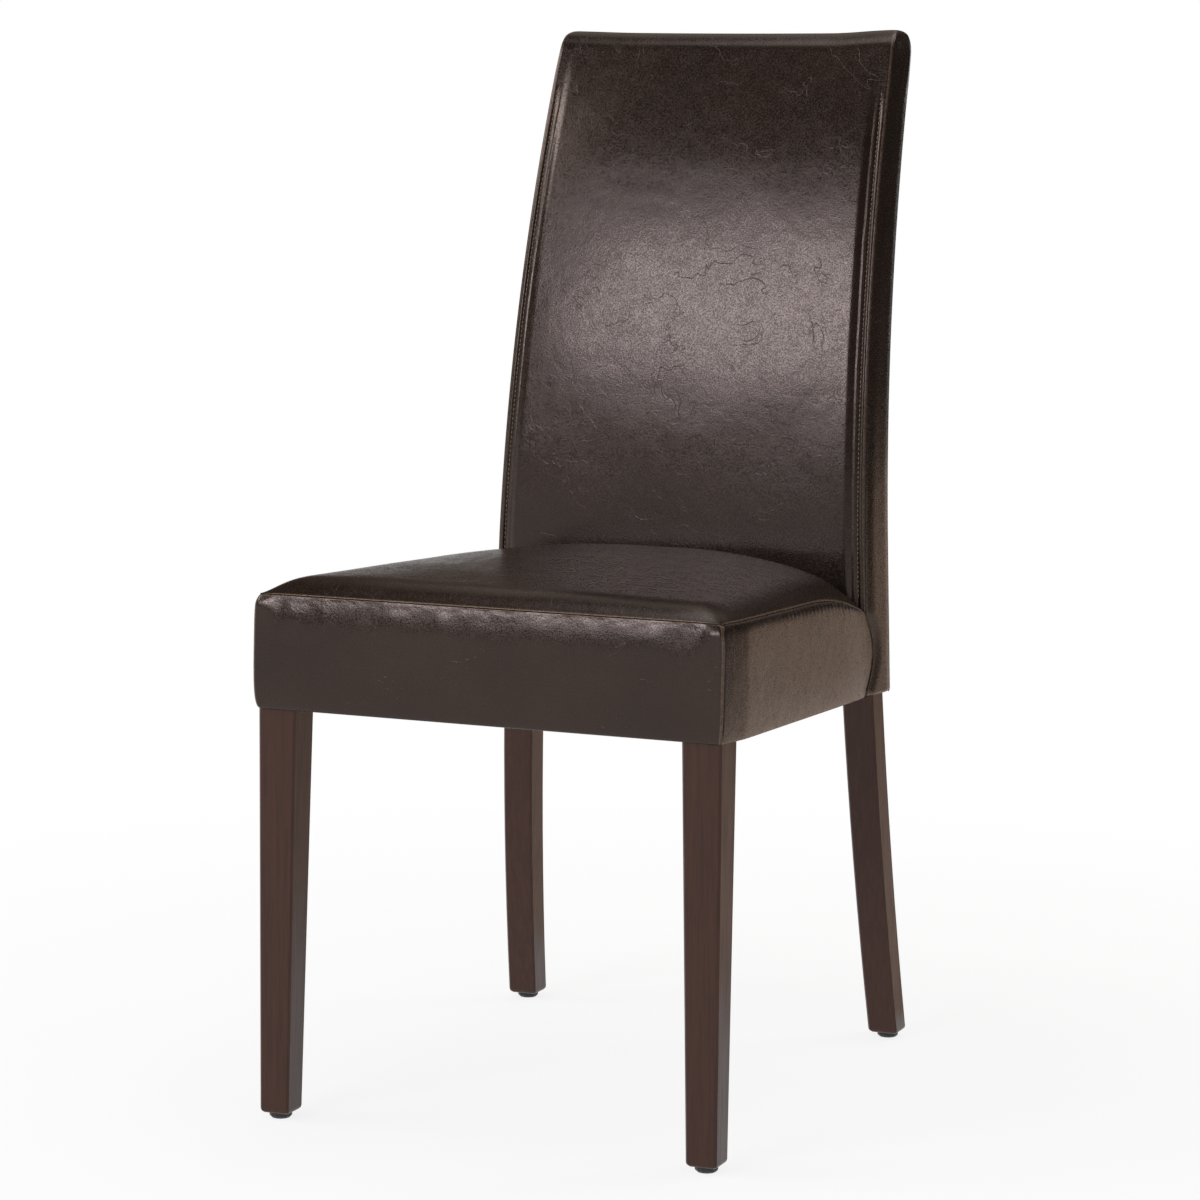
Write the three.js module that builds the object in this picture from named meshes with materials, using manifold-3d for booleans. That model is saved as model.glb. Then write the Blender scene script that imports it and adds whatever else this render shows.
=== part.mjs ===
// Upholstered dining chair: a jointed hardwood frame, woven webbing, padding and a sewn leather cover.
// Millimetres, +Z up. The front faces -Y, and left is -X as seen from in front of the chair.

import * as THREE from 'three';
import { mergeVertices } from 'three/addons/utils/BufferGeometryUtils.js';
import Module from 'manifold-3d';

const wasm = await Module();
wasm.setup();

// Outside sizes
const chairHeight = 1000;
const seatWidthFront = 451; // over the front legs
const seatWidthRear = 398; // where the seat runs into the back
const seatDepth = 453; // front legs' face to the back's front seam
const seatUnderHeight = 383; // floor to the cover's lower edge, at the front
const seatFall = 25; // how much lower the seat sits at the back
const bandHeight = 104.5; // cover's lower edge to the seam round the seat's top
const straightPast = 11; // the seat's sides run straight this far past the front legs

// Back
const backDepthSeat = 75; // front seam to rear face, at seat level
const backDepthTop = 60;
const backWidthTop = 357;
const backRake = 98; // how far the top leans back
const backStraight = 114; // the rear face stays upright this far above the cover's lower edge
const backSwell = 7; // the padded front stands this far proud of its side seams
const backSwellExponent = 5;
const backTopRound = 10;
const swellFade = 60; // the swell dies out this far below the top
const topCornerDrop = 9; // the top corners sit this much lower
const topCornerFade = 45; // height over which the corners settle
const topCornerShare = 0.93; // of the half width, where the top starts to fall

// Legs
const frontLegTop = 37.5;
const frontLegFoot = 29;
const rearLegWidth = 32;
const rearLegFoot = 30;
const rearLegDepth = 32; // front to back where the leg leaves the cover
const rearLegInset = 21.5; // cover's rear face to the leg's rear face
const kneeDepth = 44; // post's depth just above the seat frame
const kneeRise = 84; // height over which the leg swells into the knee
const postDepthTop = 30;
const footKick = 49.5; // how far the rear feet stand behind the knee
const footSplay = 15.3; // how far each rear foot stands outside its knee
const kickStartShare = 0.48; // slope of the kick at the knee, against a straight line
const legEase = 2; // small flat along each edge of a leg
const footRound = 4;

// Seat frame
const railHeight = 58;
const railThick = 22;
const railInset = 1; // rails stand this far inside the legs' faces
const tenonThick = 9;
const tenonShoulder = 9; // tenon stops this far from the rail's upper and lower edge
const tenonLength = 14;
const blockReach = 84; // along each rail from the inner corner
const blockWidth = 32;
const blockHeight = 42;
const blockLift = 8; // above the rails' lower edge
const screwShank = 2.2; // radius
const screwHead = 4.2; // radius
const screwHeadHeight = 3;
const screwLength = 34;
const screwSet = 22; // from the block's tip, along the rail
const screwBury = 14; // wood left under the screw's head
const screwPocket = 5.2; // radius

// Back frame
const crestHeight = 66;
const lowerRailHeight = 52;
const lowerRailLift = 8; // above the knee
const middleRailHeight = 46;
const middleRailDrop = 268; // from the top of the post to the rail's upper edge
const backRailThick = 20;
const strapRecess = 3; // back rails stand this far behind the posts' front faces

// Webbing
const strapWidth = 50;
const strapThick = 1.6;
const strapPitch = 108; // long straps, middle to middle
const strapHold = 18; // length of strap lying on a rail
const backStrapPitch = 92;

// Padding and cover
const coverThick = 1.2;
const waddingThick = 4;
const rearPadThick = 4;
const topPadThick = 12;
const seamGap = 0.5;
const fitGap = 0.3;
const bandSwell = 5.8; // how far the bands round the seat stand outside the legs
const bandEdge = 2; // the same, at the lower edge
const bandFadeExponent = 8; // how late the side bands flatten towards the back
const hemWidth = 18; // leather turned under the rails
const rearHemWidth = 36; // the same, behind
const postClearance = 4.5; // leather stops this far behind the rear legs
const dustCoverThick = 0.8;
const dustCoverInset = 12;

// Shape of the seat's top
const seatCrown = 23;
const seatCrownExponent = 2.8; // flatness from side to side
const crownFrontExponent = 1.35;
const crownPeakShare = 0.89; // of the depth, where the crown is highest
const crownRearShare = 0.34; // crown left where the seat meets the back
const edgeRise = 14.3; // quick rise just inside the seam
const edgeRun = 24;
const edgeRearShare = 0.6; // rise left where the seat meets the back
const edgeFadeShare = 0.8; // of the depth, where the rise starts to lessen
const rearDip = 22; // the rear corners are pulled down by this much
const dipStartShare = 0.6;
const dipExponent = 2.5;
const cornerEase = 3;
const earSet = 1.2; // the side band's top seam ends this far in front of the back
const earSwell = 23; // the band's rear edge bows back by this much

// Glides
const glideRadius = 10.5;
const glideHeight = 5.5;
const glideEdge = 2;
const nailRadius = 1.4;
const nailLength = 17;

// Counts
const topColumns = 18;
const topRows = 13;
const backColumns = 12;
const backSpans = 14;
const kneeSpans = 4;
const kickSpans = 8;
const roundSteps = 3;
const sideColumns = 4;
const turnSides = 12;

const overrun = 5;
const mergeTolerance = 1e-4;

// Materials
function paint(color, roughness, metalness = 0) {
  return () => new THREE.MeshStandardMaterial({ color, roughness, metalness });
}
const stainedWood = paint('#3a2620', 0.45);
const rawWood = paint('#b98f5f', 0.75);
const leather = paint('#2c211d', 0.35);
const foam = paint('#d9cfa0', 0.95);
const wadding = paint('#e8e6e0', 1);
const webbing = paint('#8d7b5a', 0.9);
const blackCloth = paint('#17171a', 0.95);
const nylon = paint('#141414', 0.5);
const steel = paint('#b6a36a', 0.35, 0.9);

const mix = (a, b, t) => a + (b - a) * t;
const clip = (t) => Math.min(1, Math.max(0, t));
const smooth = (t) => clip(t) * clip(t) * (3 - 2 * clip(t));
const evenly = (count) => Array.from({ length: count + 1 }, (_, i) => i / count);
const at = (x, y, z) => new THREE.Vector3(x, y, z);

// Geometry helpers

// A closed body from shared points and triangles, turned to face outwards
function body(points, faces) {
  let volume = 0;
  for (const [a, b, c] of faces) volume += points[a].dot(points[b].clone().cross(points[c]));
  const turned = volume < 0 ? faces.map(([a, b, c]) => [a, c, b]) : faces;
  const coordinates = points.flatMap((p) => [p.x, p.y, p.z]);
  const geometry = new THREE.BufferGeometry();
  geometry.setAttribute('position', new THREE.Float32BufferAttribute(coordinates, 3));
  geometry.setIndex(turned.flat());
  geometry.computeVertexNormals();
  return geometry;
}

// Rings of equal count joined one after the other, with a flat cap at each end
function loft(rings) {
  const count = rings[0].length;
  const faces = [];
  for (let r = 0; r + 1 < rings.length; r++) {
    for (let i = 0; i < count; i++) {
      const j = (i + 1) % count;
      const a = r * count + i;
      const b = r * count + j;
      faces.push([a, b, b + count], [a, b + count, a + count]);
    }
  }
  const ends = [[rings[0], 0, true], [rings.at(-1), (rings.length - 1) * count, false]];
  for (const [ring, first, flip] of ends) {
    const middle = ring.reduce((sum, p) => sum.add(p), at(0, 0, 0)).divideScalar(count);
    const normal = ring.reduce((sum, p, i) => {
      const q = ring[(i + 1) % count];
      return sum.add(p.clone().sub(middle).cross(q.clone().sub(middle)));
    }, at(0, 0, 0)).normalize();
    const across = ring[0].clone().sub(middle).normalize();
    const up = normal.clone().cross(across);
    const flat = ring.map((p) => {
      const arm = p.clone().sub(middle);
      return new THREE.Vector2(arm.dot(across), arm.dot(up));
    });
    for (const [a, b, c] of THREE.ShapeUtils.triangulateShape(flat, [])) {
      faces.push(flip ? [first + a, first + c, first + b] : [first + a, first + b, first + c]);
    }
  }
  return body(rings.flat(), faces);
}

// A sheet with a wall: place(column, row, deep) gives its outer point, or its inner one when deep
function sheet(columns, rows, place, keep = () => true) {
  const points = [];
  for (const deep of [false, true]) {
    for (let r = 0; r <= rows; r++) {
      for (let c = 0; c <= columns; c++) points.push(place(c, r, deep));
    }
  }
  const wide = columns + 1;
  const inner = wide * (rows + 1);
  const faces = [];
  const edges = new Map();
  for (let r = 0; r < rows; r++) {
    for (let c = 0; c < columns; c++) {
      if (!keep(c, r)) continue;
      const cell = [r * wide + c, r * wide + c + 1, (r + 1) * wide + c + 1, (r + 1) * wide + c];
      const [a, b, d, e] = cell;
      faces.push([a, b, d], [a, d, e]);
      faces.push([a + inner, d + inner, b + inner], [a + inner, e + inner, d + inner]);
      cell.forEach((from, k) => edges.set(`${from},${cell[(k + 1) % 4]}`, [from, cell[(k + 1) % 4]]));
    }
  }
  for (const [a, b] of edges.values()) {
    if (!edges.has(`${b},${a}`)) faces.push([b, a, a + inner], [b, a + inner, b + inner]);
  }
  const used = [...new Set(faces.flat())].sort((a, b) => a - b);
  const renumber = new Map(used.map((old, now) => [old, now]));
  return body(used.map((i) => points[i]), faces.map((face) => face.map((i) => renumber.get(i))));
}

// A plan outline raised from one height to another, falling with the seat
function prism(outline, low, high) {
  return loft([low, high].map((z) => outline.map(([x, y]) => at(x, y, z - fallAt(y)))));
}

function solidOf(geometry) {
  const bare = geometry.clone();
  bare.deleteAttribute('normal');
  bare.deleteAttribute('uv');
  const merged = mergeVertices(bare, mergeTolerance);
  const vertProperties = new Float32Array(merged.attributes.position.array);
  const triVerts = new Uint32Array(merged.index.array);
  return new wasm.Manifold(new wasm.Mesh({ numProp: 3, vertProperties, triVerts }));
}

function geometryOf(solid) {
  const { vertProperties, triVerts } = solid.getMesh();
  const geometry = new THREE.BufferGeometry();
  geometry.setAttribute('position', new THREE.BufferAttribute(new Float32Array(vertProperties), 3));
  geometry.setIndex(new THREE.BufferAttribute(new Uint32Array(triVerts), 1));
  geometry.computeVertexNormals();
  return geometry;
}

function cutAway(geometry, cutters) {
  return geometryOf(cutters.reduce((solid, cutter) => solid.subtract(solidOf(cutter)), solidOf(geometry)));
}

function joined(geometry, parts) {
  return geometryOf(parts.reduce((solid, part) => solid.add(solidOf(part)), solidOf(geometry)));
}

function named(name, geometry, material) {
  const mesh = new THREE.Mesh(geometry, material());
  mesh.name = name;
  return mesh;
}

// Lines that every piece follows

const sides = [['left', -1], ['right', 1]];
const fallAt = (y) => (seatFall * y) / seatDepth;
const taperStart = frontLegTop + straightPast;
const taperShare = (y) => clip((y - taperStart) / (seatDepth - taperStart));
const seatHalf = (y) => mix(seatWidthFront, seatWidthRear, taperShare(y)) / 2;
const railLow = seatUnderHeight + coverThick + fitGap;
const railTop = railLow + railHeight;
const kneeLow = seatUnderHeight - seatFall;
const kneeHigh = kneeLow + kneeRise;
const backLow = seatUnderHeight + backStraight;
const backRearLow = seatDepth + backDepthSeat;
const backLean = (z) => clip((z - backLow) / (chairHeight - backLow));
const backRear = (z) => backRearLow + backRake * backLean(z) ** 2;
const backFront = (z) => backRear(z) - mix(backDepthSeat, backDepthTop, backLean(z));
function backHalf(z) {
  const t = (z - seatUnderHeight) / (chairHeight - seatUnderHeight);
  return mix(seatWidthRear, backWidthTop, t) / 2;
}
// Behind the legs the seat's sides lean more and more with the back
const sideHalf = (y, z) => seatHalf(y) + (backHalf(z) - seatWidthRear / 2) * taperShare(y);
const postTop = chairHeight - coverThick - fitGap - topPadThick - fitGap;
const postOuter = (z) => {
  const knee = backHalf(Math.max(z, kneeLow)) - coverThick - fitGap;
  return knee + footSplay * clip((kneeLow - z) / kneeLow);
};
const kneeRear = backRearLow - rearLegInset;
const postRearHigh = (z) => backRear(z) - coverThick - rearPadThick - 2 * fitGap;
function postRear(z) {
  const t = clip((kneeLow - z) / kneeLow);
  const kick = footKick * mix(t * t, t, kickStartShare);
  return mix(kneeRear + kick, postRearHigh(z), smooth((z - kneeLow) / kneeRise));
}
function postDepth(z) {
  if (z < kneeLow) return mix(rearLegFoot, rearLegDepth, z / kneeLow);
  if (z < kneeHigh) return mix(rearLegDepth, kneeDepth, smooth((z - kneeLow) / kneeRise));
  return mix(kneeDepth, postDepthTop, (z - kneeHigh) / (chairHeight - kneeHigh));
}
const postFront = (z) => postRear(z) - postDepth(z);
const postWidth = (z) => mix(rearLegFoot, rearLegWidth, clip(z / kneeLow));

const kneeLevels = evenly(kneeSpans).map((t) => mix(kneeLow, kneeHigh, t));
const backLevels = evenly(backSpans).map((t) => mix(kneeHigh, chairHeight - backTopRound, t));

// Legs and posts

// A four-sided section with a small flat on each edge, for a leg
function legRing(x0, x1, y0, y1, z, ease) {
  return [
    at(x0 + ease, y0, z), at(x1 - ease, y0, z), at(x1, y0 + ease, z), at(x1, y1 - ease, z),
    at(x1 - ease, y1, z), at(x0 + ease, y1, z), at(x0, y1 - ease, z), at(x0, y0 + ease, z),
  ];
}

// Foot rings: the edges of the sole are rounded over
const footRings = evenly(roundSteps).map((t) => {
  const angle = (t * Math.PI) / 2;
  const lift = glideHeight + footRound * (1 - Math.cos(angle));
  return { lift, inset: footRound * (1 - Math.sin(angle)) };
});

function frontLegBlank(side) {
  const ringAt = (z, inset = 0) => {
    const thick = mix(frontLegFoot, frontLegTop, clip(z / seatUnderHeight));
    const outer = seatWidthFront / 2;
    const [x0, x1] = side < 0 ? [-outer, thick - outer] : [outer - thick, outer];
    return legRing(x0 + inset, x1 - inset, inset, thick - inset, z, legEase);
  };
  const rings = footRings.map(({ lift, inset }) => ringAt(lift, inset));
  rings.push(ringAt(seatUnderHeight));
  const top = ringAt(railTop);
  top.forEach((p) => { p.z -= fallAt(p.y); });
  return loft([...rings, top]);
}

function rearPostBlank(side, grow = 0) {
  const ringAt = (z, inset = 0) => {
    const outer = postOuter(z) - inset + grow;
    const inner = postOuter(z) - postWidth(z) + inset - grow;
    const [x0, x1] = side < 0 ? [-outer, -inner] : [inner, outer];
    return legRing(x0, x1, postFront(z) + inset - grow, postRear(z) - inset + grow, z, legEase);
  };
  const footTop = footRings.at(-1).lift;
  const rings = footRings.map(({ lift, inset }) => ringAt(lift, inset));
  for (const t of evenly(kickSpans).slice(1)) rings.push(ringAt(mix(footTop, kneeLow, t)));
  for (const z of kneeLevels.slice(1)) rings.push(ringAt(z));
  for (const z of backLevels.slice(1).filter((level) => level < postTop - overrun)) {
    rings.push(ringAt(z));
  }
  rings.push(ringAt(postTop));
  return loft(rings);
}

// Seat rails

const tenonIn = (railThick - tenonThick) / 2;
const frontRailEnd = seatWidthFront / 2 - frontLegTop - fitGap;
const railFrontHalf = seatWidthFront / 2 - railInset;
const railRearHalf = seatWidthRear / 2 - coverThick - fitGap - railInset;
const sideOuter = (y) => mix(railFrontHalf, railRearHalf, (y - frontLegTop) / (seatDepth - frontLegTop));
const rearRailFront = kneeRear - railThick - railInset;
const rearRailEnd = postOuter(railLow) - postWidth(railLow);

const box = (x0, x1, y0, y1) => [[x0, y0], [x1, y0], [x1, y1], [x0, y1]];
const grown = (low, high, grow) => [low + tenonShoulder - grow, high - tenonShoulder + grow];

function frontTenon(side, grow) {
  const tip = frontRailEnd + fitGap + tenonLength + grow;
  const [x0, x1] = side < 0 ? [-tip, overrun - frontRailEnd] : [frontRailEnd - overrun, tip];
  const outline = box(x0, x1, railInset + tenonIn - grow, railInset + railThick - tenonIn + grow);
  return prism(outline, ...grown(railLow, railTop, grow));
}

function sideTenon(side, atRear, grow) {
  const shoulder = atRear ? postFront(kneeLow) : frontLegTop;
  const out = atRear ? 1 : -1;
  const back = shoulder - out * overrun;
  const tip = shoulder + out * (tenonLength + grow);
  const edge = (y, inset) => side * (sideOuter(y) - inset);
  const outline = [
    [edge(back, tenonIn - grow), back], [edge(tip, tenonIn - grow), tip],
    [edge(tip, railThick - tenonIn + grow), tip], [edge(back, railThick - tenonIn + grow), back],
  ];
  return prism(outline, ...grown(railLow, railTop, grow));
}

function rearTenon(side, grow) {
  const tip = rearRailEnd + tenonLength + grow;
  const [x0, x1] = side < 0 ? [-tip, overrun - rearRailEnd] : [rearRailEnd - overrun, tip];
  const y0 = rearRailFront + tenonIn - grow;
  const y1 = rearRailFront + railThick - tenonIn + grow;
  return prism(box(x0, x1, y0, y1), ...grown(railLow, railTop, grow));
}

function frontRail() {
  const plain = prism(box(-frontRailEnd, frontRailEnd, railInset, railInset + railThick), railLow, railTop);
  const whole = joined(plain, sides.map(([, side]) => frontTenon(side, 0)));
  return cutAway(whole, screwHoles(screwShank + fitGap, 'front'));
}

function sideRail(side) {
  const start = frontLegTop + fitGap;
  const end = postFront(kneeLow) + overrun;
  const edge = (y, inset) => [side * (sideOuter(y) - inset), y];
  const outline = [edge(start, 0), edge(end, 0), edge(end, railThick), edge(start, railThick)];
  const plain = prism(outline, railLow, railTop);
  const scribed = cutAway(plain, [rearPostBlank(side, fitGap)]);
  const whole = joined(scribed, [sideTenon(side, false, 0), sideTenon(side, true, 0)]);
  return cutAway(whole, screwHoles(screwShank + fitGap, 'side', side));
}

function rearRail() {
  const end = rearRailEnd + overrun;
  const plain = prism(box(-end, end, rearRailFront, rearRailFront + railThick), railLow, railTop);
  const scribed = cutAway(plain, sides.map(([, side]) => rearPostBlank(side, fitGap)));
  const whole = joined(scribed, sides.map(([, side]) => rearTenon(side, 0)));
  return cutAway(whole, screwHoles(screwShank + fitGap, 'rear'));
}

// Back rails: each follows the lean of the posts

const postTenonEnd = (z) => postOuter(z) - postWidth(z);
const backRails = [
  { name: 'back_lower_rail', low: kneeHigh + lowerRailLift, height: lowerRailHeight },
  { name: 'back_middle_rail', low: postTop - middleRailDrop - middleRailHeight, height: middleRailHeight },
  { name: 'crest_rail', low: postTop - crestHeight, height: crestHeight },
];

function leaningBar(x0, x1, low, high, front, thick) {
  const section = (x) => [
    at(x, front(low), low), at(x, front(low) + thick, low),
    at(x, front(high) + thick, high), at(x, front(high), high),
  ];
  return loft([section(x0), section(x1)]);
}

const railFace = (rail) => (z) => {
  const t = (z - rail.low) / rail.height;
  return mix(postFront(rail.low), postFront(rail.low + rail.height), t) + strapRecess;
};

function backTenon(rail, side, grow) {
  const reach = postTenonEnd(rail.low) + tenonLength + grow;
  const back = postTenonEnd(rail.low + rail.height) - 2 * overrun;
  const [x0, x1] = side < 0 ? [-reach, -back] : [back, reach];
  const face = (z) => railFace(rail)(z) + (backRailThick - tenonThick) / 2 - grow;
  return leaningBar(x0, x1, ...grown(rail.low, rail.low + rail.height, grow), face, tenonThick + 2 * grow);
}

function backRail(rail) {
  const end = postTenonEnd(rail.low) + overrun;
  const plain = leaningBar(-end, end, rail.low, rail.low + rail.height, railFace(rail), backRailThick);
  const scribed = cutAway(plain, sides.map(([, side]) => rearPostBlank(side, fitGap)));
  return joined(scribed, sides.map(([, side]) => backTenon(rail, side, 0)));
}

function frontLeg(side) {
  return cutAway(frontLegBlank(side), [
    frontTenon(side, fitGap), sideTenon(side, false, fitGap), nailHole(frontFoot(side)),
  ]);
}

function rearPost(side) {
  const mortises = backRails.map((rail) => backTenon(rail, side, fitGap));
  return cutAway(rearPostBlank(side), [
    ...mortises, sideTenon(side, true, fitGap), rearTenon(side, fitGap), nailHole(rearFoot(side)),
  ]);
}

// Corner blocks and their screws

const corners = [
  { name: 'front_left', side: -1, rear: false }, { name: 'front_right', side: 1, rear: false },
  { name: 'rear_left', side: -1, rear: true }, { name: 'rear_right', side: 1, rear: true },
];
const sideInner = (y) => sideOuter(y) - railThick - fitGap;
const crossInner = (rear) => (rear ? rearRailFront - fitGap : railInset + railThick + fitGap);

function blockOutline({ side, rear }) {
  const y0 = crossInner(rear);
  const way = rear ? -1 : 1;
  const tip = sideInner(y0) - blockReach;
  const near = y0 + way * (blockReach - blockWidth);
  const far = y0 + way * blockReach;
  return [
    [side * tip, y0], [side * (tip + blockWidth), y0],
    [side * sideInner(near), near], [side * sideInner(far), far],
  ];
}

// Middle of a screw's head face, with the way that the screw points
function screwSeats({ name, side, rear }) {
  const y0 = crossInner(rear);
  const way = rear ? -1 : 1;
  const sideY = y0 + way * (blockReach - screwSet);
  const crossX = sideInner(y0) - blockReach + screwSet;
  const height = railLow + blockLift + blockHeight / 2;
  const headAt = (x, y) => at(side * x, y, height - fallAt(y));
  const cross = headAt(crossX, y0 + way * screwBury);
  const along = headAt(sideInner(sideY) - screwBury, sideY);
  const crossRail = rear ? 'rear' : 'front';
  return [
    { name: `corner_screw_${name}_1`, rail: crossRail, side, head: cross, way: at(0, -way, 0) },
    { name: `corner_screw_${name}_2`, rail: 'side', side, head: along, way: at(side, 0, 0) },
  ];
}

const allSeats = () => corners.flatMap(screwSeats);

// A round bar from one point along a way, for a hole
function bar(from, way, length, radius) {
  const geometry = new THREE.CylinderGeometry(radius, radius, length, turnSides);
  geometry.translate(0, length / 2, 0);
  geometry.applyQuaternion(new THREE.Quaternion().setFromUnitVectors(at(0, 1, 0), way));
  return geometry.translate(from.x, from.y, from.z);
}

function screwHoles(radius, rail, side = 0) {
  const wanted = allSeats().filter((seat) => seat.rail === rail && (side === 0 || seat.side === side));
  return wanted.map((seat) => bar(seat.head, seat.way, screwLength + fitGap, radius));
}

function cornerBlock(corner) {
  const low = railLow + blockLift;
  const plain = prism(blockOutline(corner), low, low + blockHeight);
  const cuts = screwSeats(corner).flatMap(({ head, way }) => [
    bar(head, way, screwLength, screwShank + fitGap),
    bar(head.clone().addScaledVector(way, fitGap), way.clone().negate(), blockReach, screwPocket),
  ]);
  return cutAway(plain, cuts);
}

// Head up, point down, with the head's underside at the origin
function screwShape() {
  const taper = 2 * screwShank;
  const profile = [
    [0, -screwLength + fitGap], [screwShank, taper - screwLength], [screwShank, 0], [screwHead, 0],
    [screwHead, screwHeadHeight / 2], [screwHead / 2, screwHeadHeight], [0, screwHeadHeight],
  ];
  return new THREE.LatheGeometry(profile.map(([r, h]) => new THREE.Vector2(r, h)), turnSides);
}

// Glides

const frontFoot = (side) => at(side * (seatWidthFront - frontLegFoot) / 2, frontLegFoot / 2, 0);
const rearFoot = (side) => at(side * (postOuter(0) - rearLegFoot / 2), postRear(0) - rearLegFoot / 2, 0);

function nailHole(foot) {
  const depth = overrun + glideHeight + nailLength + fitGap;
  return bar(at(foot.x, foot.y, -overrun), at(0, 0, 1), depth, nailRadius + fitGap);
}

function glideShape() {
  const top = glideHeight - fitGap;
  const tip = glideHeight + nailLength;
  const profile = [
    [0, 0], [glideRadius - glideEdge, 0], [glideRadius, glideEdge], [glideRadius, top],
    [nailRadius, top], [nailRadius, tip - nailRadius], [0, tip],
  ];
  const geometry = new THREE.LatheGeometry(profile.map(([r, h]) => new THREE.Vector2(r, h)), turnSides);
  return geometry.rotateX(Math.PI / 2);
}

// Webbing: straps pass over and under one another, and lie flat on the rails at their ends

const strapLow = railTop + fitGap;
const strapStep = strapThick + fitGap;
const weaveTop = strapLow + strapThick + strapStep;
const strapPlaces = [-1, 0, 1];
// The cross straps share out the depth between the front and rear rails evenly
const crossStrapY = (k) => mix(railInset, rearRailFront + railThick, 0.5 + k / (strapPlaces.length + 1));

function strap(ends, crossings, lifts, pointAt) {
  const flat = strapWidth / 2 + strapThick;
  const stations = [[ends[0], 0], [ends[0] + strapHold, 0]];
  crossings.forEach((centre, k) => stations.push([centre - flat, lifts[k]], [centre + flat, lifts[k]]));
  stations.push([ends[1] - strapHold, 0], [ends[1], 0]);
  return loft(stations.map(([along, lift]) => {
    const low = strapLow + lift * strapStep;
    return [[-1, low], [1, low], [1, low + strapThick], [-1, low + strapThick]].map(([edge, z]) => {
      const { x, y } = pointAt(along, (edge * strapWidth) / 2);
      return at(x, y, z - fallAt(y));
    });
  }));
}

function longStrap(k) {
  const ends = [railInset + fitGap, rearRailFront + railThick - fitGap];
  const lifts = strapPlaces.map((j) => Math.abs(k + j + 1) % 2);
  const pointAt = (along, edge) => ({ x: k * strapPitch + edge, y: along });
  return strap(ends, strapPlaces.map(crossStrapY), lifts, pointAt);
}

function crossStrap(j) {
  const y = crossStrapY(j);
  const end = sideOuter(y + strapWidth / 2) - fitGap;
  const lifts = strapPlaces.map((k) => Math.abs(k + j) % 2);
  const pointAt = (along, edge) => ({ x: along, y: y + edge });
  return strap([-end, end], strapPlaces.map((k) => k * strapPitch), lifts, pointAt);
}

// Upright straps on the front faces of the back rails
function backStrap(k) {
  const x0 = k * backStrapPitch - strapWidth / 2;
  const x1 = x0 + strapWidth;
  const ringAt = (rail, z) => {
    const y1 = railFace(rail)(z) - fitGap;
    const y0 = y1 - strapThick;
    return [at(x0, y0, z), at(x1, y0, z), at(x1, y1, z), at(x0, y1, z)];
  };
  return loft(backRails.flatMap((rail) => [
    ringAt(rail, rail.low + fitGap), ringAt(rail, rail.low + rail.height - fitGap),
  ]));
}

// Seat padding and cover

const crossShares = evenly(topColumns).map((t) => Math.sin((t - 0.5) * Math.PI));
const depthShares = evenly(topRows).map((t) => (1 - Math.cos(t * Math.PI)) / 2);
const swellAcross = (u) => 1 - Math.abs(u) ** backSwellExponent;
const earStart = seatDepth - earSet;
const seatRearLine = (u) => mix(earStart, backFront(backLow) - backSwell - coverThick, swellAcross(u));
const quarter = (distance) => Math.sqrt(1 - (1 - clip(distance / edgeRun)) ** 2);
const underHeight = (y) => seatUnderHeight - fallAt(y);

function seamHeight(y, u) {
  const dip = clip((y / earStart - dipStartShare) / (1 - dipStartShare));
  return underHeight(y) + bandHeight - rearDip * dip ** 2 * Math.abs(u) ** dipExponent;
}

function crownSwell(v) {
  if (v < crownPeakShare) return 1 - (1 - v / crownPeakShare) ** crownFrontExponent;
  const past = (v - crownPeakShare) / (1 - crownPeakShare);
  return mix(1, crownRearShare, past ** 2);
}

// Softens the front corners in plan
function easeCorner(point, dx, dy) {
  const pull = cornerEase * (1 - Math.SQRT1_2) * clip(1 - dx / cornerEase) * clip(1 - dy / cornerEase);
  return at(point.x - Math.sign(point.x) * pull, point.y + pull, point.z);
}

// A point of the crowned top, with u across, v front to rear, and inset how deep the layer lies
function seatTop(u, v, inset) {
  const y = mix(inset, seatRearLine(u), v);
  const half = sideHalf(y, seamHeight(y, 1)) - inset;
  const dx = (1 - Math.abs(u)) * half;
  const fade = mix(1, edgeRearShare, smooth((v - edgeFadeShare) / (1 - edgeFadeShare)));
  const rise = edgeRise * fade * quarter(dx) * quarter(y - inset);
  const crown = seatCrown * (1 - Math.abs(u) ** seatCrownExponent) * crownSwell(v);
  return easeCorner(at(u * half, y, seamHeight(y, u) + rise + crown - inset), dx, y - inset);
}

// Down a band: share of its height, and how far its outer face stands out as a share of the swell
const bandShares = [
  [0, 0], [0.03, 0.42], [0.1, 0.78], [0.25, 0.96], [0.5, 1],
  [0.74, 0.95], [0.88, 0.76], [0.96, 0.5], [1, 0],
];
const hemRow = bandShares.length;
const bandOut = (row) => (row === 0 ? 0 : bandEdge + (bandSwell - bandEdge) * bandShares[row][1]);
const turnOf = (row) => (row === 0 ? -1 : row === bandShares.length - 1 ? 1 : 0);

// Point of the front band's face, or of a layer that lies deep behind it
function frontBandPoint(u, row, deep) {
  const share = bandShares[row][0];
  const out = bandOut(row);
  const half = seatWidthFront / 2;
  const top = seamHeight(0, u) - seamGap;
  const z = mix(top, underHeight(0), share) + turnOf(row) * deep;
  const x = u * (half + out - deep - seamGap / 2);
  return easeCorner(at(x, deep - out, z), half + out - deep - Math.abs(x), 0);
}

const earEnd = seatDepth - backSwell;
const earLine = (share) => mix(earStart, earEnd, share) + earSwell * Math.sin(Math.PI * share);

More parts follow.
